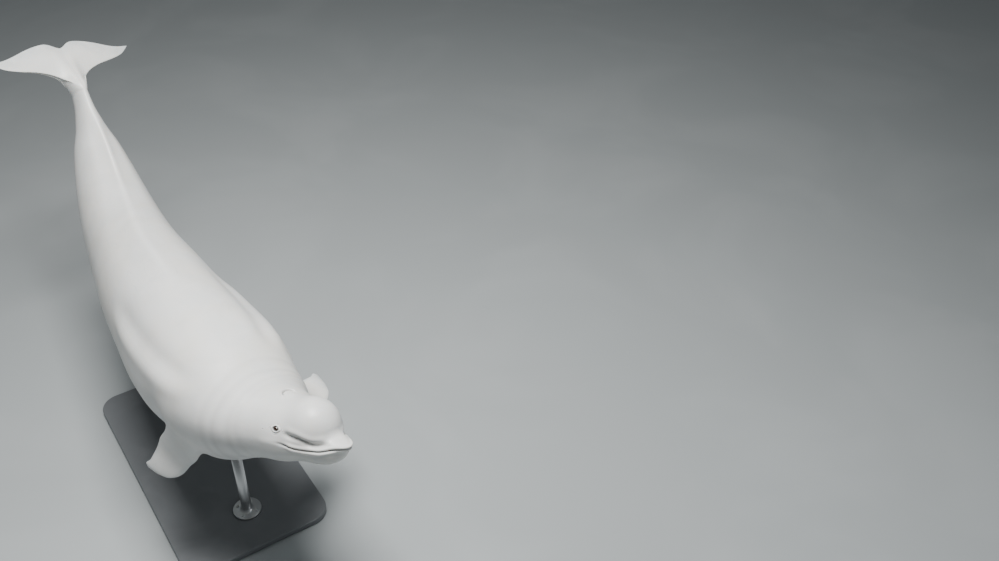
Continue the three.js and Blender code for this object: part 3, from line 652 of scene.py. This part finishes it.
def paddle(rows=64, facets=64):
    """x = length out, y = middle + half chord cos t, z = half thickness sin t + the tip's curl."""
    share = np.linspace(0, 1, rows + 1)[:, None]
    out = 1 - (1 - share) ** 1.6
    t = 2 * np.pi * np.arange(facets)[None, :] / facets
    chord = leading_edge(out) - trailing_edge(out)
    middle = (leading_edge(out) + trailing_edge(out)) / 2
    half = FLIPPER_HALF_THICKNESS * mix(1, 0.18, out) * np.sqrt(chord / FLIPPER_CHORD)
    z = half * np.sin(t) + FLIPPER_CURL * ease(0.45, 1, out) ** 2
    grid = np.stack([FLIPPER_LENGTH * out + 0 * t, middle + chord / 2 * np.cos(t), z], axis=-1)
    margin = np.maximum(ease(0.55, 1, np.abs(np.cos(t))) ** 2 * ease(0.1, 0.5, out), ease(0.75, 1, out))
    return grid, margin


def placed_paddle(grid, side, back, down, sweep, droop, twist):
    """The paddle turned by twist, sweep and droop, with its root sunk in the chest at a share of the half
    section."""
    q = turned_about(grid, (1, 0, 0), twist)
    q = turned_about(q, (0, 0, 1), -sweep)
    q = turned_about(q, (0, 1, 0), droop)
    point, forward, left, up = spine_at(back)
    root_out = ROOT_DEPTH * half_width(back) * np.cos(np.radians(down))
    root_down = ROOT_DEPTH * belly_drop(back) * np.sin(np.radians(down))
    out, ahead, above = q[..., 0:1], q[..., 1:2], q[..., 2:3]
    return point + side * (root_out + out) * left + ahead * forward + (above - root_down) * up


def straightened(p, back):
    """The straight animal's point for a point in place: s moves until the point lies in its section."""
    s = np.full(p.shape[:-1], back)
    for _ in range(6):
        point, forward, left, up = spine_at(s)
        s = s - np.sum((p - point) * forward, axis=-1)
    point, forward, left, up = spine_at(s)
    offset = p - point
    return np.stack([-s, np.sum(offset * left, axis=-1), np.sum(offset * up, axis=-1)], axis=-1)


def flared(grid, middle, back):
    """Each ring grows away from its middle line near the chest by height exp(-d / reach), d being the
    distance to the chest."""
    d = np.clip(flesh_distance(straightened(grid, back)), -5 * MM, 1)
    away = unit(grid - middle)
    return grid + (FLARE_HEIGHT * np.exp(-d / FLARE_REACH))[..., None] * away


def flipper_mesh(name, settings):
    """The closed paddle: rings along it, with its ends closed by strips. It flares away from a line that
    runs along most of its chord, so that it thickens more than it widens."""
    grid, margin = paddle()
    centre = grid.mean(axis=1, keepdims=True)
    chord_line = centre + 0.82 * (grid - centre) * [0, 1, 0]
    middle_line = placed_paddle(chord_line + 0 * grid, **settings)
    placed = flared(placed_paddle(grid, **settings), middle_line, settings["back"])
    index = np.arange(grid[..., 0].size).reshape(grid.shape[:2])
    (root_quads, root_tris), (tip_quads, tip_tris) = strip_cap(index[0]), strip_cap(index[-1])
    quads = np.concatenate([ring_quads(index, reverse=True), root_quads[:, ::-1], tip_quads])
    tris = np.concatenate([root_tris[:, ::-1], tip_tris])
    if settings["side"] > 0:
        quads, tris = quads[:, ::-1], tris[:, ::-1]
    straight = straightened(placed, settings["back"])
    return mesh_object(name, placed.reshape(-1, 3), quads, tris), straight.reshape(-1, 3), margin.ravel()


paddles = {name: flipper_mesh("flipper_" + name, settings) for name, settings in FLIPPERS.items()}
print("flippers:", [len(p[0].data.vertices) for p in paddles.values()])

# %% [markdown]
# The paddles are joined to the body with a Boolean union, which leaves a hard line where they meet. A
# sculptor would smooth it with a thumb: points near the line are moved, a little at a time, towards the
# middle of their neighbours. What the material needs to know at each point, its place on the straight
# animal, the painted shade of the creases and the thin margins, is carried over from the nearest point of the
# parts.

# %% Union of body and flippers
def one_mesh(obj):
    """Recalculates the outward side of a closed mesh's faces."""
    bpy.context.view_layer.objects.active = obj
    bpy.ops.object.mode_set(mode="EDIT")
    bpy.ops.mesh.select_all(action="SELECT")
    bpy.ops.mesh.normals_make_consistent(inside=False)
    bpy.ops.object.mode_set(mode="OBJECT")


def applied(obj):
    """Puts the result of an object's modifiers into its mesh."""
    depsgraph = bpy.context.evaluated_depsgraph_get()
    mesh = bpy.data.meshes.new_from_object(obj.evaluated_get(depsgraph))
    obj.modifiers.clear()
    obj.data = mesh
    mesh.name = obj.name


for part in [skin] + [p[0] for p in paddles.values()]:
    one_mesh(part)
part_points = [coordinates(skin)] + [coordinates(p[0]) for p in paddles.values()]
part_straight = [straight_points] + [p[1] for p in paddles.values()]
# painted shade of the creases; none on the flippers
part_crease_shade = [body_crease_shade] + [0 * p[2] for p in paddles.values()]
part_margin = [body_margin] + [p[2] for p in paddles.values()]
for p in paddles.values():
    union = skin.modifiers.new("union", "BOOLEAN")
    union.operation = "UNION"
    union.solver = "MANIFOLD"
    union.object = p[0]
applied(skin)
for p in paddles.values():
    bpy.data.objects.remove(p[0])
print("union:", len(skin.data.vertices), "points,", len(skin.data.polygons), "faces")


# %% Smoothing of the junctions and values for the material
def nearest(points, among):
    """For each point the index of the nearest of the others, and how far off it is."""
    tree = kdtree.KDTree(len(among))
    for i, p in enumerate(among.tolist()):
        tree.insert(p, i)
    tree.balance()
    found = [tree.find(p) for p in points.tolist()]
    return np.array([f[1] for f in found]), np.array([f[2] for f in found])


def smoothed(obj, weight, rounds):
    """rounds times: each point moves towards the mean of its neighbours by its weight."""
    p = coordinates(obj)
    edge = np.empty(2 * len(obj.data.edges), dtype=np.int32)
    obj.data.edges.foreach_get("vertices", edge)
    a, b = edge.reshape(-1, 2).T
    count = np.bincount(a, minlength=len(p)) + np.bincount(b, minlength=len(p))
    for _ in range(rounds):
        total = np.zeros_like(p)
        for k in range(3):
            total[:, k] = np.bincount(a, p[b, k], len(p)) + np.bincount(b, p[a, k], len(p))
        p = p + weight[:, None] * (total / count[:, None] - p)
    obj.data.vertices.foreach_set("co", p.astype(np.float32).ravel())
    obj.data.update()


SEAM_CORE = 12 * MM
SEAM_REACH = 60 * MM
SEAM_ROUNDS = 36
union_points = coordinates(skin)
source, distance = nearest(union_points, np.concatenate(part_points))
seam = distance > 1e-5
_, from_seam = nearest(union_points, union_points[seam])
smoothed(skin, 0.5 * (1 - ease(SEAM_CORE, SEAM_REACH, from_seam)), SEAM_ROUNDS)


def point_values(obj, name, values, kind="FLOAT"):
    """Stores a value at each point for the material."""
    attribute = obj.data.attributes.new(name, kind, "POINT")
    field = "vector" if kind == "FLOAT_VECTOR" else "value"
    attribute.data.foreach_set(field, values.astype(np.float32).ravel())


point_values(skin, "straight", np.concatenate(part_straight)[source], "FLOAT_VECTOR")
# painted shade of the creases, kept at each point for the material
point_values(skin, "crease_shade", np.concatenate(part_crease_shade)[source])
point_values(skin, "margin", np.concatenate(part_margin)[source])
skin.data.polygons.foreach_set("use_smooth", np.ones(len(skin.data.polygons), dtype=bool))
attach(skin, "root")
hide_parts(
    "head", "lower_jaw", "neck", "chest", "belly", "tail_stock", "fluke_left", "fluke_right",
    "flipper_left", "flipper_right",
)
print("seam points:", int(seam.sum()))

# %% [markdown]
# Shared effects are node groups with named inputs and outputs, built once. One gives cloudy patches, the
# other a fine grain that steel, paint and skin use for tiny changes of gloss.

# %% Node helpers
def shader_group(name, inputs, outputs, build):
    """A shader node group with float, vector or colour sockets, filled by build(group, entry, leave)."""
    group = bpy.data.node_groups.new(name, "ShaderNodeTree")
    for label, kind, value in inputs:
        socket = group.interface.new_socket(label, in_out="INPUT", socket_type="NodeSocket" + kind)
        if value is not None:
            socket.default_value = value
    for label, kind in outputs:
        group.interface.new_socket(label, in_out="OUTPUT", socket_type="NodeSocket" + kind)
    entry, leave = group.nodes.new("NodeGroupInput"), group.nodes.new("NodeGroupOutput")
    build(group, entry, leave)
    return group


def feed(tree, node, values):
    """Puts numbers or links into a node's input sockets."""
    for key, value in values.items():
        if isinstance(value, bpy.types.NodeSocket):
            tree.links.new(value, node.inputs[key])
        else:
            node.inputs[key].default_value = value
    return node


def add_node(tree, kind, values=None, **settings):
    """A node with its settings and inputs."""
    node = tree.nodes.new("ShaderNode" + kind)
    for key, value in settings.items():
        setattr(node, key, value)
    return feed(tree, node, values or {})


def number(tree, operation, a, b=None, c=None):
    """One arithmetic step on numbers or links, giving its output socket."""
    values = {i: v for i, v in enumerate((a, b, c)) if v is not None}
    return add_node(tree, "Math", values, operation=operation).outputs[0]


def span(tree, value, low, high, to_low=0.0, to_high=1.0):
    """value moved smoothly from the span low..high to the span to_low..to_high."""
    values = {"Value": value, "From Min": low, "From Max": high, "To Min": to_low, "To Max": to_high}
    return add_node(tree, "MapRange", values, interpolation_type="SMOOTHSTEP").outputs["Result"]


def tinted(tree, mask, a, b):
    """Colour a where the mask is 0 and colour b where it is 1."""
    return add_node(tree, "Mix", {0: mask, 6: a, 7: b}, data_type="RGBA").outputs[2]


def length_of(tree, x, y):
    """sqrt(x^2 + y^2)."""
    squares = [number(tree, "MULTIPLY", v, v) for v in (x, y)]
    return number(tree, "SQRT", number(tree, "ADD", *squares))


def noise(tree, vector, scale, detail=2.0, roughness=0.5, distortion=0.0):
    """The Noise Texture's value."""
    values = {"Vector": vector, "Scale": scale, "Detail": detail, "Roughness": roughness}
    values["Distortion"] = distortion
    return add_node(tree, "TexNoise", values).outputs["Fac"]


# %% Shared effects
def build_clouds(tree, entry, leave):
    """Soft patches: broad noise, a little warped, stretched to 0..1."""
    broad = noise(tree, entry.outputs["Vector"], entry.outputs["Scale"], 3.0, 0.55, 0.6)
    mask = span(tree, broad, 0.42, 0.68)
    tree.links.new(mask, leave.inputs["Mask"])


def build_grain(tree, entry, leave):
    """A fine grain: high noise about its middle, and a height of the same for bump."""
    fine = noise(tree, entry.outputs["Vector"], entry.outputs["Scale"], 4.0, 0.6)
    value = number(tree, "SUBTRACT", fine, 0.5)
    value = number(tree, "MULTIPLY_ADD", value, entry.outputs["Amount"], entry.outputs["Base"])
    tree.links.new(value, leave.inputs["Value"])
    tree.links.new(fine, leave.inputs["Height"])


clouds = shader_group(
    "soft_patches", [("Vector", "Vector", None), ("Scale", "Float", 2.0)], [("Mask", "Float")], build_clouds
)
grain = shader_group(
    "fine_grain",
    [("Vector", "Vector", None), ("Scale", "Float", 40.0), ("Amount", "Float", 0.2), ("Base", "Float", 0.4)],
    [("Value", "Float"), ("Height", "Float")],
    build_grain,
)


def use_group(tree, group, values):
    """Places a group in a material with its own values."""
    node = tree.nodes.new("ShaderNodeGroup")
    node.node_tree = group
    return feed(tree, node, values)


def material(name):
    """A new material with its Principled shader."""
    made = bpy.data.materials.new(name)
    made.use_nodes = True
    return made, made.node_tree, made.node_tree.nodes["Principled BSDF"]


# %% [markdown]
# The skin of a grown beluga is white with a trace of cream where the old skin hasn't yet rubbed off, and
# a breath of grey along the thin margins of flippers and flukes; its folds get a painted shade of darker
# grey. It is smooth as wet rubber, with very fine wrinkles across the body and a few old scratches. The
# patterns are laid over the straight animal's coordinates, so they bend with the body.

# %% Skin material
WHITE = (0.79, 0.80, 0.79, 1)
CREAM = (0.76, 0.72, 0.62, 1)
PALE_GREY = (0.55, 0.59, 0.60, 1)
# dark grey for the painted shade in the creases
CREASE_SHADE_GREY = (0.23, 0.23, 0.235, 1)


def build_skin():
    """White, then cream patches, pale grey cloud and margins, scratches, and painted shade in the creases."""
    made, tree, shader = material("whale_skin")
    straight = add_node(tree, "Attribute", attribute_name="straight").outputs["Vector"]
    crease_shade = add_node(tree, "Attribute", attribute_name="crease_shade").outputs["Fac"]
    margin = add_node(tree, "Attribute", attribute_name="margin").outputs["Fac"]
    cream = use_group(tree, clouds, {"Vector": straight, "Scale": 2.4}).outputs["Mask"]
    grey = use_group(tree, clouds, {"Vector": straight, "Scale": 5.5}).outputs["Mask"]
    colour = tinted(tree, number(tree, "MULTIPLY", cream, 0.30), WHITE, CREAM)
    colour = tinted(tree, number(tree, "MULTIPLY", grey, 0.16), colour, PALE_GREY)
    edge_cloud = span(tree, noise(tree, straight, 14.0, 3.0), 0.3, 0.7, 0.25, 0.75)
    colour = tinted(tree, number(tree, "MULTIPLY", margin, edge_cloud), colour, PALE_GREY)

    stretched = add_node(tree, "Mapping", {"Vector": straight, "Scale": (2.2, 26.0, 26.0)}).outputs[0]
    line = number(tree, "ABSOLUTE", number(tree, "SUBTRACT", noise(tree, stretched, 1.0, 1.5), 0.5))
    where = span(tree, noise(tree, straight, 3.3, 1.0), 0.55, 0.66)
    scratch = number(tree, "MULTIPLY", span(tree, line, 0.0, 0.012, 1.0, 0.0), where)
    colour = tinted(tree, number(tree, "MULTIPLY", scratch, 0.35), colour, PALE_GREY)
    # painted shade: dark grey in the creases of the mouth, lips, eyes, ear, blowhole and neck
    colour = tinted(tree, number(tree, "MULTIPLY", crease_shade, 0.8), colour, CREASE_SHADE_GREY)
    tree.links.new(colour, shader.inputs["Base Color"])

    gloss = use_group(tree, grain, {"Vector": straight, "Scale": 22.0, "Amount": 0.3, "Base": 0.42})
    tree.links.new(gloss.outputs["Value"], shader.inputs["Roughness"])
    across = add_node(tree, "Mapping", {"Vector": straight, "Scale": (95.0, 16.0, 16.0)}).outputs[0]
    wrinkle = noise(tree, across, 1.0, 3.0, 0.55, 0.4)
    pore = add_node(tree, "TexVoronoi", {"Vector": straight, "Scale": 210.0}).outputs["Distance"]
    wave = noise(tree, straight, 9.0, 2.0, 0.5)
    height = number(tree, "MULTIPLY", wrinkle, 0.9)
    height = number(tree, "MULTIPLY_ADD", pore, 0.12, height)
    height = number(tree, "MULTIPLY_ADD", wave, 2.4, height)
    height = number(tree, "MULTIPLY_ADD", scratch, -0.35, height)
    relief = add_node(tree, "Bump", {"Height": height, "Strength": 0.35, "Distance": 1.6 * MM})
    tree.links.new(relief.outputs[0], shader.inputs["Normal"])
    shader.inputs["Subsurface Weight"].default_value = 0.12
    shader.inputs["Subsurface Radius"].default_value = (1.0, 0.7, 0.5)
    shader.inputs["Subsurface Scale"].default_value = 12 * MM
    shader.inputs["Coat Weight"].default_value = 0.08
    shader.inputs["Coat Roughness"].default_value = 0.25
    return made


skin_material = build_skin()
skin.data.materials.clear()
skin.data.materials.append(skin_material)

# %% [markdown]
# The eye is small and dark: a brown iris, almost black, round a wide pupil, wet and shiny. It could be a
# plain glass ball, but the iris is worth its rings, because the eye is what a visitor looks at. The ball
# is a grid of circles round its optical axis, and the distance from the axis is stored for the material.

# %% Eyes
def eye_ball(name, side):
    """Point = centre + half axes times (sin t cos a, sin t sin a, cos t), with the cornea's front
    raised by 1.2 mm near the axis."""
    centre, along, across, out = eye_frame(side)
    t = np.linspace(0.03, np.pi - 0.03, 40)[:, None]
    a = 2 * np.pi * np.arange(56)[None, :] / 56
    x, y, z = np.sin(t) * np.cos(a), np.sin(t) * np.sin(a), np.cos(t) + 0 * a
    bulge = 0.1 * bump(t, 0, 0.5) + 0 * a
    local = np.stack([EYE_HALF[0] * x, EYE_HALF[1] * y, EYE_HALF[2] * (z + bulge)], axis=-1)
    rings = centre - EYE_SUNK * out + local @ np.stack([along, across, out])
    index = np.arange(t.size * a.size).reshape(t.size, a.size)
    poles = np.stack([rings[0].mean(axis=0), rings[-1].mean(axis=0)])
    n = t.size * a.size
    front = np.stack([np.roll(index[0], -1), index[0] * 0 + n, index[0]], axis=-1)
    rear = np.stack([index[-1], index[-1] * 0 + n + 1, np.roll(index[-1], -1)], axis=-1)
    points = np.concatenate([rings.reshape(-1, 3), poles])
    ball = mesh_object(name, bend(points), ring_quads(index, reverse=True), np.concatenate([front, rear]))
    one_mesh(ball)
    spot = np.stack([x * 17, y * 13, 0 * x], axis=-1).reshape(-1, 3)
    point_values(ball, "iris", np.concatenate([spot, np.zeros((2, 3))]), "FLOAT_VECTOR")
    return ball


def build_eye():
    """Pupil, iris with fibres and a dark rim, then the near-black white of the eye, by distance."""
    made, tree, shader = material("eye_glass")
    spot = add_node(tree, "Attribute", attribute_name="iris").outputs["Vector"]
    parts = add_node(tree, "SeparateXYZ", {0: spot})
    x, y = parts.outputs["X"], parts.outputs["Y"]
    radius = length_of(tree, x, y)
    pupil = length_of(tree, number(tree, "MULTIPLY", x, 0.62), y)
    turn = number(tree, "MULTIPLY", number(tree, "ARCTAN2", y, x), 9.0)
    fibre = add_node(tree, "CombineXYZ", {0: turn, 1: number(tree, "MULTIPLY", radius, 0.35)})
    streak = noise(tree, fibre.outputs[0], 1.6, 3.0, 0.6)
    iris = tinted(tree, streak, (0.018, 0.010, 0.006, 1), (0.085, 0.045, 0.024, 1))
    colour = tinted(tree, span(tree, radius, 7.2, 8.6), iris, (0.012, 0.010, 0.010, 1))
    colour = tinted(tree, span(tree, radius, 10.5, 13.0), colour, (0.20, 0.18, 0.17, 1))
    colour = tinted(tree, span(tree, pupil, 2.6, 3.3, 1.0, 0.0), colour, (0.002, 0.002, 0.002, 1))
    tree.links.new(colour, shader.inputs["Base Color"])
    shader.inputs["Roughness"].default_value = 0.12
    shader.inputs["Coat Weight"].default_value = 1.0
    shader.inputs["Coat Roughness"].default_value = 0.02
    return made


eye_material = build_eye()
for side, name in ((1.0, "left"), (-1.0, "right")):
    ball = eye_ball("eyeball_" + name, side)
    ball.data.materials.append(eye_material)
    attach(ball, "root")
    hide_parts("eye_" + name)
print("eyes at", np.round(bend(eye_frame(1.0)[0]), 3))

# %% [markdown]
# The stand only has to hold and to keep quiet: a flat painted base and two short steel rods. A plain
# slab would look like a toy, so its top edge is rounded and its underside is set in, which leaves a
# shadow line at the floor. The slab is a stack of rounded rectangles, and the rods are turned profiles.

# %% Base
BASE = dict(length=1700 * MM, width=900 * MM, thickness=45 * MM, corner=120 * MM)


def rounded_rectangle(inset, height, per_corner=20):
    """Four quarter circles round the corners, all moved in by the inset."""
    radius = BASE["corner"] - inset
    turn = np.radians(np.arange(4 * (per_corner + 1)) // (per_corner + 1) * 90.0)
    turn = turn + np.pi / 2 * (np.arange(4 * (per_corner + 1)) % (per_corner + 1)) / per_corner
    corner = np.arange(4 * (per_corner + 1)) // (per_corner + 1)
    cx = (BASE["length"] / 2 - BASE["corner"]) * np.array([1, -1, -1, 1])[corner]
    cy = (BASE["width"] / 2 - BASE["corner"]) * np.array([1, 1, -1, -1])[corner]
    x, y = cx + radius * np.cos(turn), cy + radius * np.sin(turn)
    return np.stack([x, y, np.full_like(x, height)], axis=-1)


def stacked_rings(name, rings):
    """A closed mesh from a stack of flat rings of one count, its ends closed by their middle points."""
    count = len(rings[0])
    index = 2 + np.arange(len(rings) * count).reshape(len(rings), count)
    low = np.stack([index[0] * 0, np.roll(index[0], -1), index[0]], axis=-1)
    high = np.stack([index[0] * 0 + 1, index[-1], np.roll(index[-1], -1)], axis=-1)
    points = np.concatenate([[rings[0].mean(axis=0), rings[-1].mean(axis=0)], np.concatenate(rings)])
    return mesh_object(name, points, ring_quads(index), np.concatenate([low, high]))


def base_slab():
    """Rings from the foot up: set in at the floor, out to the full size, up, and over a round edge."""
    top, edge = BASE["thickness"], 6 * MM
    turn = np.linspace(0, np.pi / 2, 7)
    levels = [(18 * MM, 0), (18 * MM, 8 * MM), (1 * MM, 8 * MM), (0, 9 * MM)]
    levels += [(edge * (1 - np.cos(t)), top - edge + edge * np.sin(t)) for t in turn]
    levels += [(edge + 30 * MM, top)]
    return stacked_rings("base_slab", [rounded_rectangle(inset, height) for inset, height in levels])


slab = base_slab()
slab.data.polygons.foreach_set("use_smooth", np.ones(len(slab.data.polygons), dtype=bool))
print("base:", len(slab.data.vertices), "points")

# %% Rods, flanges and screws
ROD_RADIUS = 30 * MM
ROD_FLANGE_RADIUS = 85 * MM
ROD_FLANGE_THICKNESS = 14 * MM
RODS = {"front": 1080 * MM, "rear": 2050 * MM}
SCREW_CIRCLE = 62 * MM
# A screw head from its foot up and into the socket: radius and height in millimetres
SCREW_LEVELS = [(9, -1), (9, 2.2), (8.2, 4.2), (6.6, 5.2), (4.2, 5.4), (4.0, 5.2), (3.9, 2.4)]
SOCKET_FROM = 4


def turned_rings(profile, x, y, count=72):
    """Circles of the profile's radii at its heights, round a vertical axis."""
    a = 2 * np.pi * np.arange(count) / count
    circle = np.stack([np.cos(a), np.sin(a), 0 * a], axis=-1)
    return [np.array([x, y, z]) + r * circle for r, z in profile]


def rod(name, back):
    """The flange with a rounded edge, a hollow up to the shaft, and the shaft into the skin."""
    x, y = spine_at(back)[0][:2]
    foot = BASE["thickness"]
    top = float(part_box("stand_rod_" + name)[1].z) + 12 * MM
    plate = foot + ROD_FLANGE_THICKNESS
    edge = 3 * MM
    turn = np.linspace(0, np.pi / 2, 5)
    profile = [(ROD_FLANGE_RADIUS - 1 * MM, foot), (ROD_FLANGE_RADIUS, foot + 1 * MM)]
    profile += [(ROD_FLANGE_RADIUS - edge * (1 - np.cos(t)), plate - edge + edge * np.sin(t)) for t in turn]
    hollow = 18 * MM
    profile += [
        (ROD_RADIUS + hollow * (1 - np.sin(t)), plate + hollow * (1 - np.cos(t))) for t in turn
    ]
    profile += [(ROD_RADIUS, top)]
    return stacked_rings("rod_" + name, turned_rings(profile, x, y))


def screw_heads(name, back):
    """Four round heads on the flange, each a low dome with a six-sided socket sunk in it."""
    x, y = spine_at(back)[0][:2]
    plate = BASE["thickness"] + ROD_FLANGE_THICKNESS
    count = 24
    a = 2 * np.pi * np.arange(count) / count
    hexagon = np.cos(np.pi / 6) / np.cos((a % (np.pi / 3)) - np.pi / 6)
    head = []
    for i, (r, z) in enumerate(SCREW_LEVELS):
        shape = hexagon if i >= SOCKET_FROM else np.ones(count)
        head.append(MM * np.stack([r * shape * np.cos(a), r * shape * np.sin(a), np.full(count, z)], axis=-1))
    points, quads, tris = [], [], []
    for k in range(4):
        turn = np.pi / 4 + k * np.pi / 2
        rings = np.array([x + SCREW_CIRCLE * np.cos(turn), y + SCREW_CIRCLE * np.sin(turn), plate]) + head
        start = k * (2 + len(head) * count)
        index = start + 2 + np.arange(len(head) * count).reshape(len(head), count)
        quads.append(ring_quads(index))
        tris.append(np.stack([index[0] * 0 + start, np.roll(index[0], -1), index[0]], axis=-1))
        tris.append(np.stack([index[0] * 0 + start + 1, index[-1], np.roll(index[-1], -1)], axis=-1))
        middles = np.stack([rings[0].mean(axis=0), rings[-1].mean(axis=0)])
        points.append(np.concatenate([middles, rings.reshape(-1, 3)]))
    obj = mesh_object("screws_" + name, np.concatenate(points), np.concatenate(quads), np.concatenate(tris))
    obj.data.polygons.foreach_set("use_smooth", np.zeros(len(obj.data.polygons), dtype=bool))
    return obj


rods = {name: rod(name, back) for name, back in RODS.items()}
screws = {name: screw_heads(name, back) for name, back in RODS.items()}

# %% [markdown]
# The base has a satin paint with a very fine orange-peel, and the rods are brushed steel: the brush marks
# run round the shaft, so the gloss is broken by fine noise that is stretched round it.

# %% Stand materials
def build_paint():
    """Mid-grey paint, slightly cloudy, with a fine orange-peel."""
    made, tree, shader = material("stand_paint")
    place = add_node(tree, "TexCoord").outputs["Object"]
    cloud = use_group(tree, clouds, {"Vector": place, "Scale": 3.0}).outputs["Mask"]
    colour = tinted(tree, cloud, (0.15, 0.16, 0.17, 1), (0.17, 0.18, 0.19, 1))
    tree.links.new(colour, shader.inputs["Base Color"])
    gloss = use_group(tree, grain, {"Vector": place, "Scale": 160.0, "Amount": 0.18, "Base": 0.46})
    tree.links.new(gloss.outputs["Value"], shader.inputs["Roughness"])
    peel = add_node(tree, "Bump", {"Height": gloss.outputs["Height"], "Strength": 0.2, "Distance": 0.4 * MM})
    tree.links.new(peel.outputs[0], shader.inputs["Normal"])
    return made


def build_steel():
    """Steel with fine marks round the shaft."""
    made, tree, shader = material("stand_steel")
    place = add_node(tree, "TexCoord").outputs["Object"]
    stretched = add_node(tree, "Mapping", {"Vector": place, "Scale": (4.0, 4.0, 420.0)}).outputs[0]
    marks = use_group(tree, grain, {"Vector": stretched, "Scale": 1.0, "Amount": 0.35, "Base": 0.33})
    tree.links.new(marks.outputs["Value"], shader.inputs["Roughness"])
    shader.inputs["Base Color"].default_value = (0.56, 0.57, 0.58, 1)
    shader.inputs["Metallic"].default_value = 1.0
    depth = {"Height": marks.outputs["Height"], "Strength": 0.12, "Distance": 0.2 * MM}
    lines = add_node(tree, "Bump", depth)
    tree.links.new(lines.outputs[0], shader.inputs["Normal"])
    return made


paint, steel = build_paint(), build_steel()
slab.data.materials.append(paint)
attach(slab, "root")
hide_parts("stand_base")
for name in RODS:
    for piece in (rods[name], screws[name]):
        piece.data.materials.append(steel)
        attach(piece, "root")
    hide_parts("stand_rod_" + name)

# %% [markdown]
# The hall: a pale floor that runs on behind the model, a soft light high overhead, which falls on the
# back and leaves the flanks in half shade as light from the water's surface does, and a much weaker fill
# from the front. The camera stands above and in front of the whale, to its right, as the photographer
# did, and looks down at it.

# %% Floor and light
def floor():
    """A wide disc at the floor's level: circles of points round its middle."""
    a = 2 * np.pi * np.arange(96) / 96
    circle = np.stack([np.cos(a), np.sin(a), 0 * a], axis=-1)
    return stacked_rings("floor", [r * circle - np.array([0, 0, z]) for r, z in ((40, 0.05), (40, 0.0005))])


hall = floor()
floor_material, tree, shader = material("pale_floor")
place = add_node(tree, "TexCoord").outputs["Object"]
soft = use_group(tree, clouds, {"Vector": place, "Scale": 0.7}).outputs["Mask"]
tree.links.new(tinted(tree, soft, (0.40, 0.43, 0.44, 1), (0.43, 0.46, 0.47, 1)), shader.inputs["Base Color"])
shader.inputs["Roughness"].default_value = 0.7
hall.data.materials.append(floor_material)


def lamp(name, place, target, size, power, colour):
    """A square area light that looks at a point, its size in metres and its power in watts."""
    data = bpy.data.lights.new(name, "AREA")
    data.shape = "SQUARE"
    data.size = size
    data.energy = power
    data.color = colour
    obj = bpy.data.objects.new(name, data)
    scene.collection.objects.link(obj)
    obj.location = place
    obj.rotation_euler = (Vector(target) - Vector(place)).to_track_quat("-Z", "Y").to_euler()
    return obj


lamp("overhead", (0.9, 0.1, 6.4), (0.5, 0.1, 1.3), 2.2, 600, (1.0, 0.99, 0.97))
lamp("fill", (4.5, 3.5, 3.0), (0.4, 0, 1.0), 3.0, 40, (0.96, 0.98, 1.0))
world = bpy.data.worlds.new("hall")
world.use_nodes = True
world.node_tree.nodes["Background"].inputs["Color"].default_value = (0.62, 0.66, 0.68, 1)
world.node_tree.nodes["Background"].inputs["Strength"].default_value = 0.17
scene.world = world

# %% Camera
# Turn and tilt in radians, focal length in pixels, offset right, down and ahead in metres
CAMERA_TURN = 0.578
CAMERA_TILT = 0.666
CAMERA_FOCAL = 1086.4
CAMERA_OFFSET = np.array([-1.906, 0.225, 6.329])
SENSOR_WIDTH = 36.0
IMAGE_WIDTH = 999
AIM_BACK = 1750 * MM


def place_camera():
    """The view direction from turn and tilt, then the offset of the spine's point in camera axes."""
    level = np.cos(CAMERA_TILT)
    backward = np.array([level * np.cos(CAMERA_TURN), -level * np.sin(CAMERA_TURN), np.sin(CAMERA_TILT)])
    right = np.array([np.sin(CAMERA_TURN), np.cos(CAMERA_TURN), 0.0])
    up = np.cross(backward, right)
    target = spine_at(AIM_BACK)[0]
    shift_x, shift_down, ahead = CAMERA_OFFSET
    eye = target - (shift_x * right - shift_down * up - ahead * backward)
    data = bpy.data.cameras.new("camera")
    data.sensor_width = SENSOR_WIDTH
    data.lens = CAMERA_FOCAL * SENSOR_WIDTH / IMAGE_WIDTH
    data.clip_end = 200
    camera = bpy.data.objects.new("camera", data)
    scene.collection.objects.link(camera)
    turn = Matrix((right, up, backward)).transposed()
    camera.matrix_world = Matrix.Translation(Vector(eye)) @ turn.to_4x4()
    scene.camera = camera
    return eye


print("camera at", np.round(place_camera(), 3))
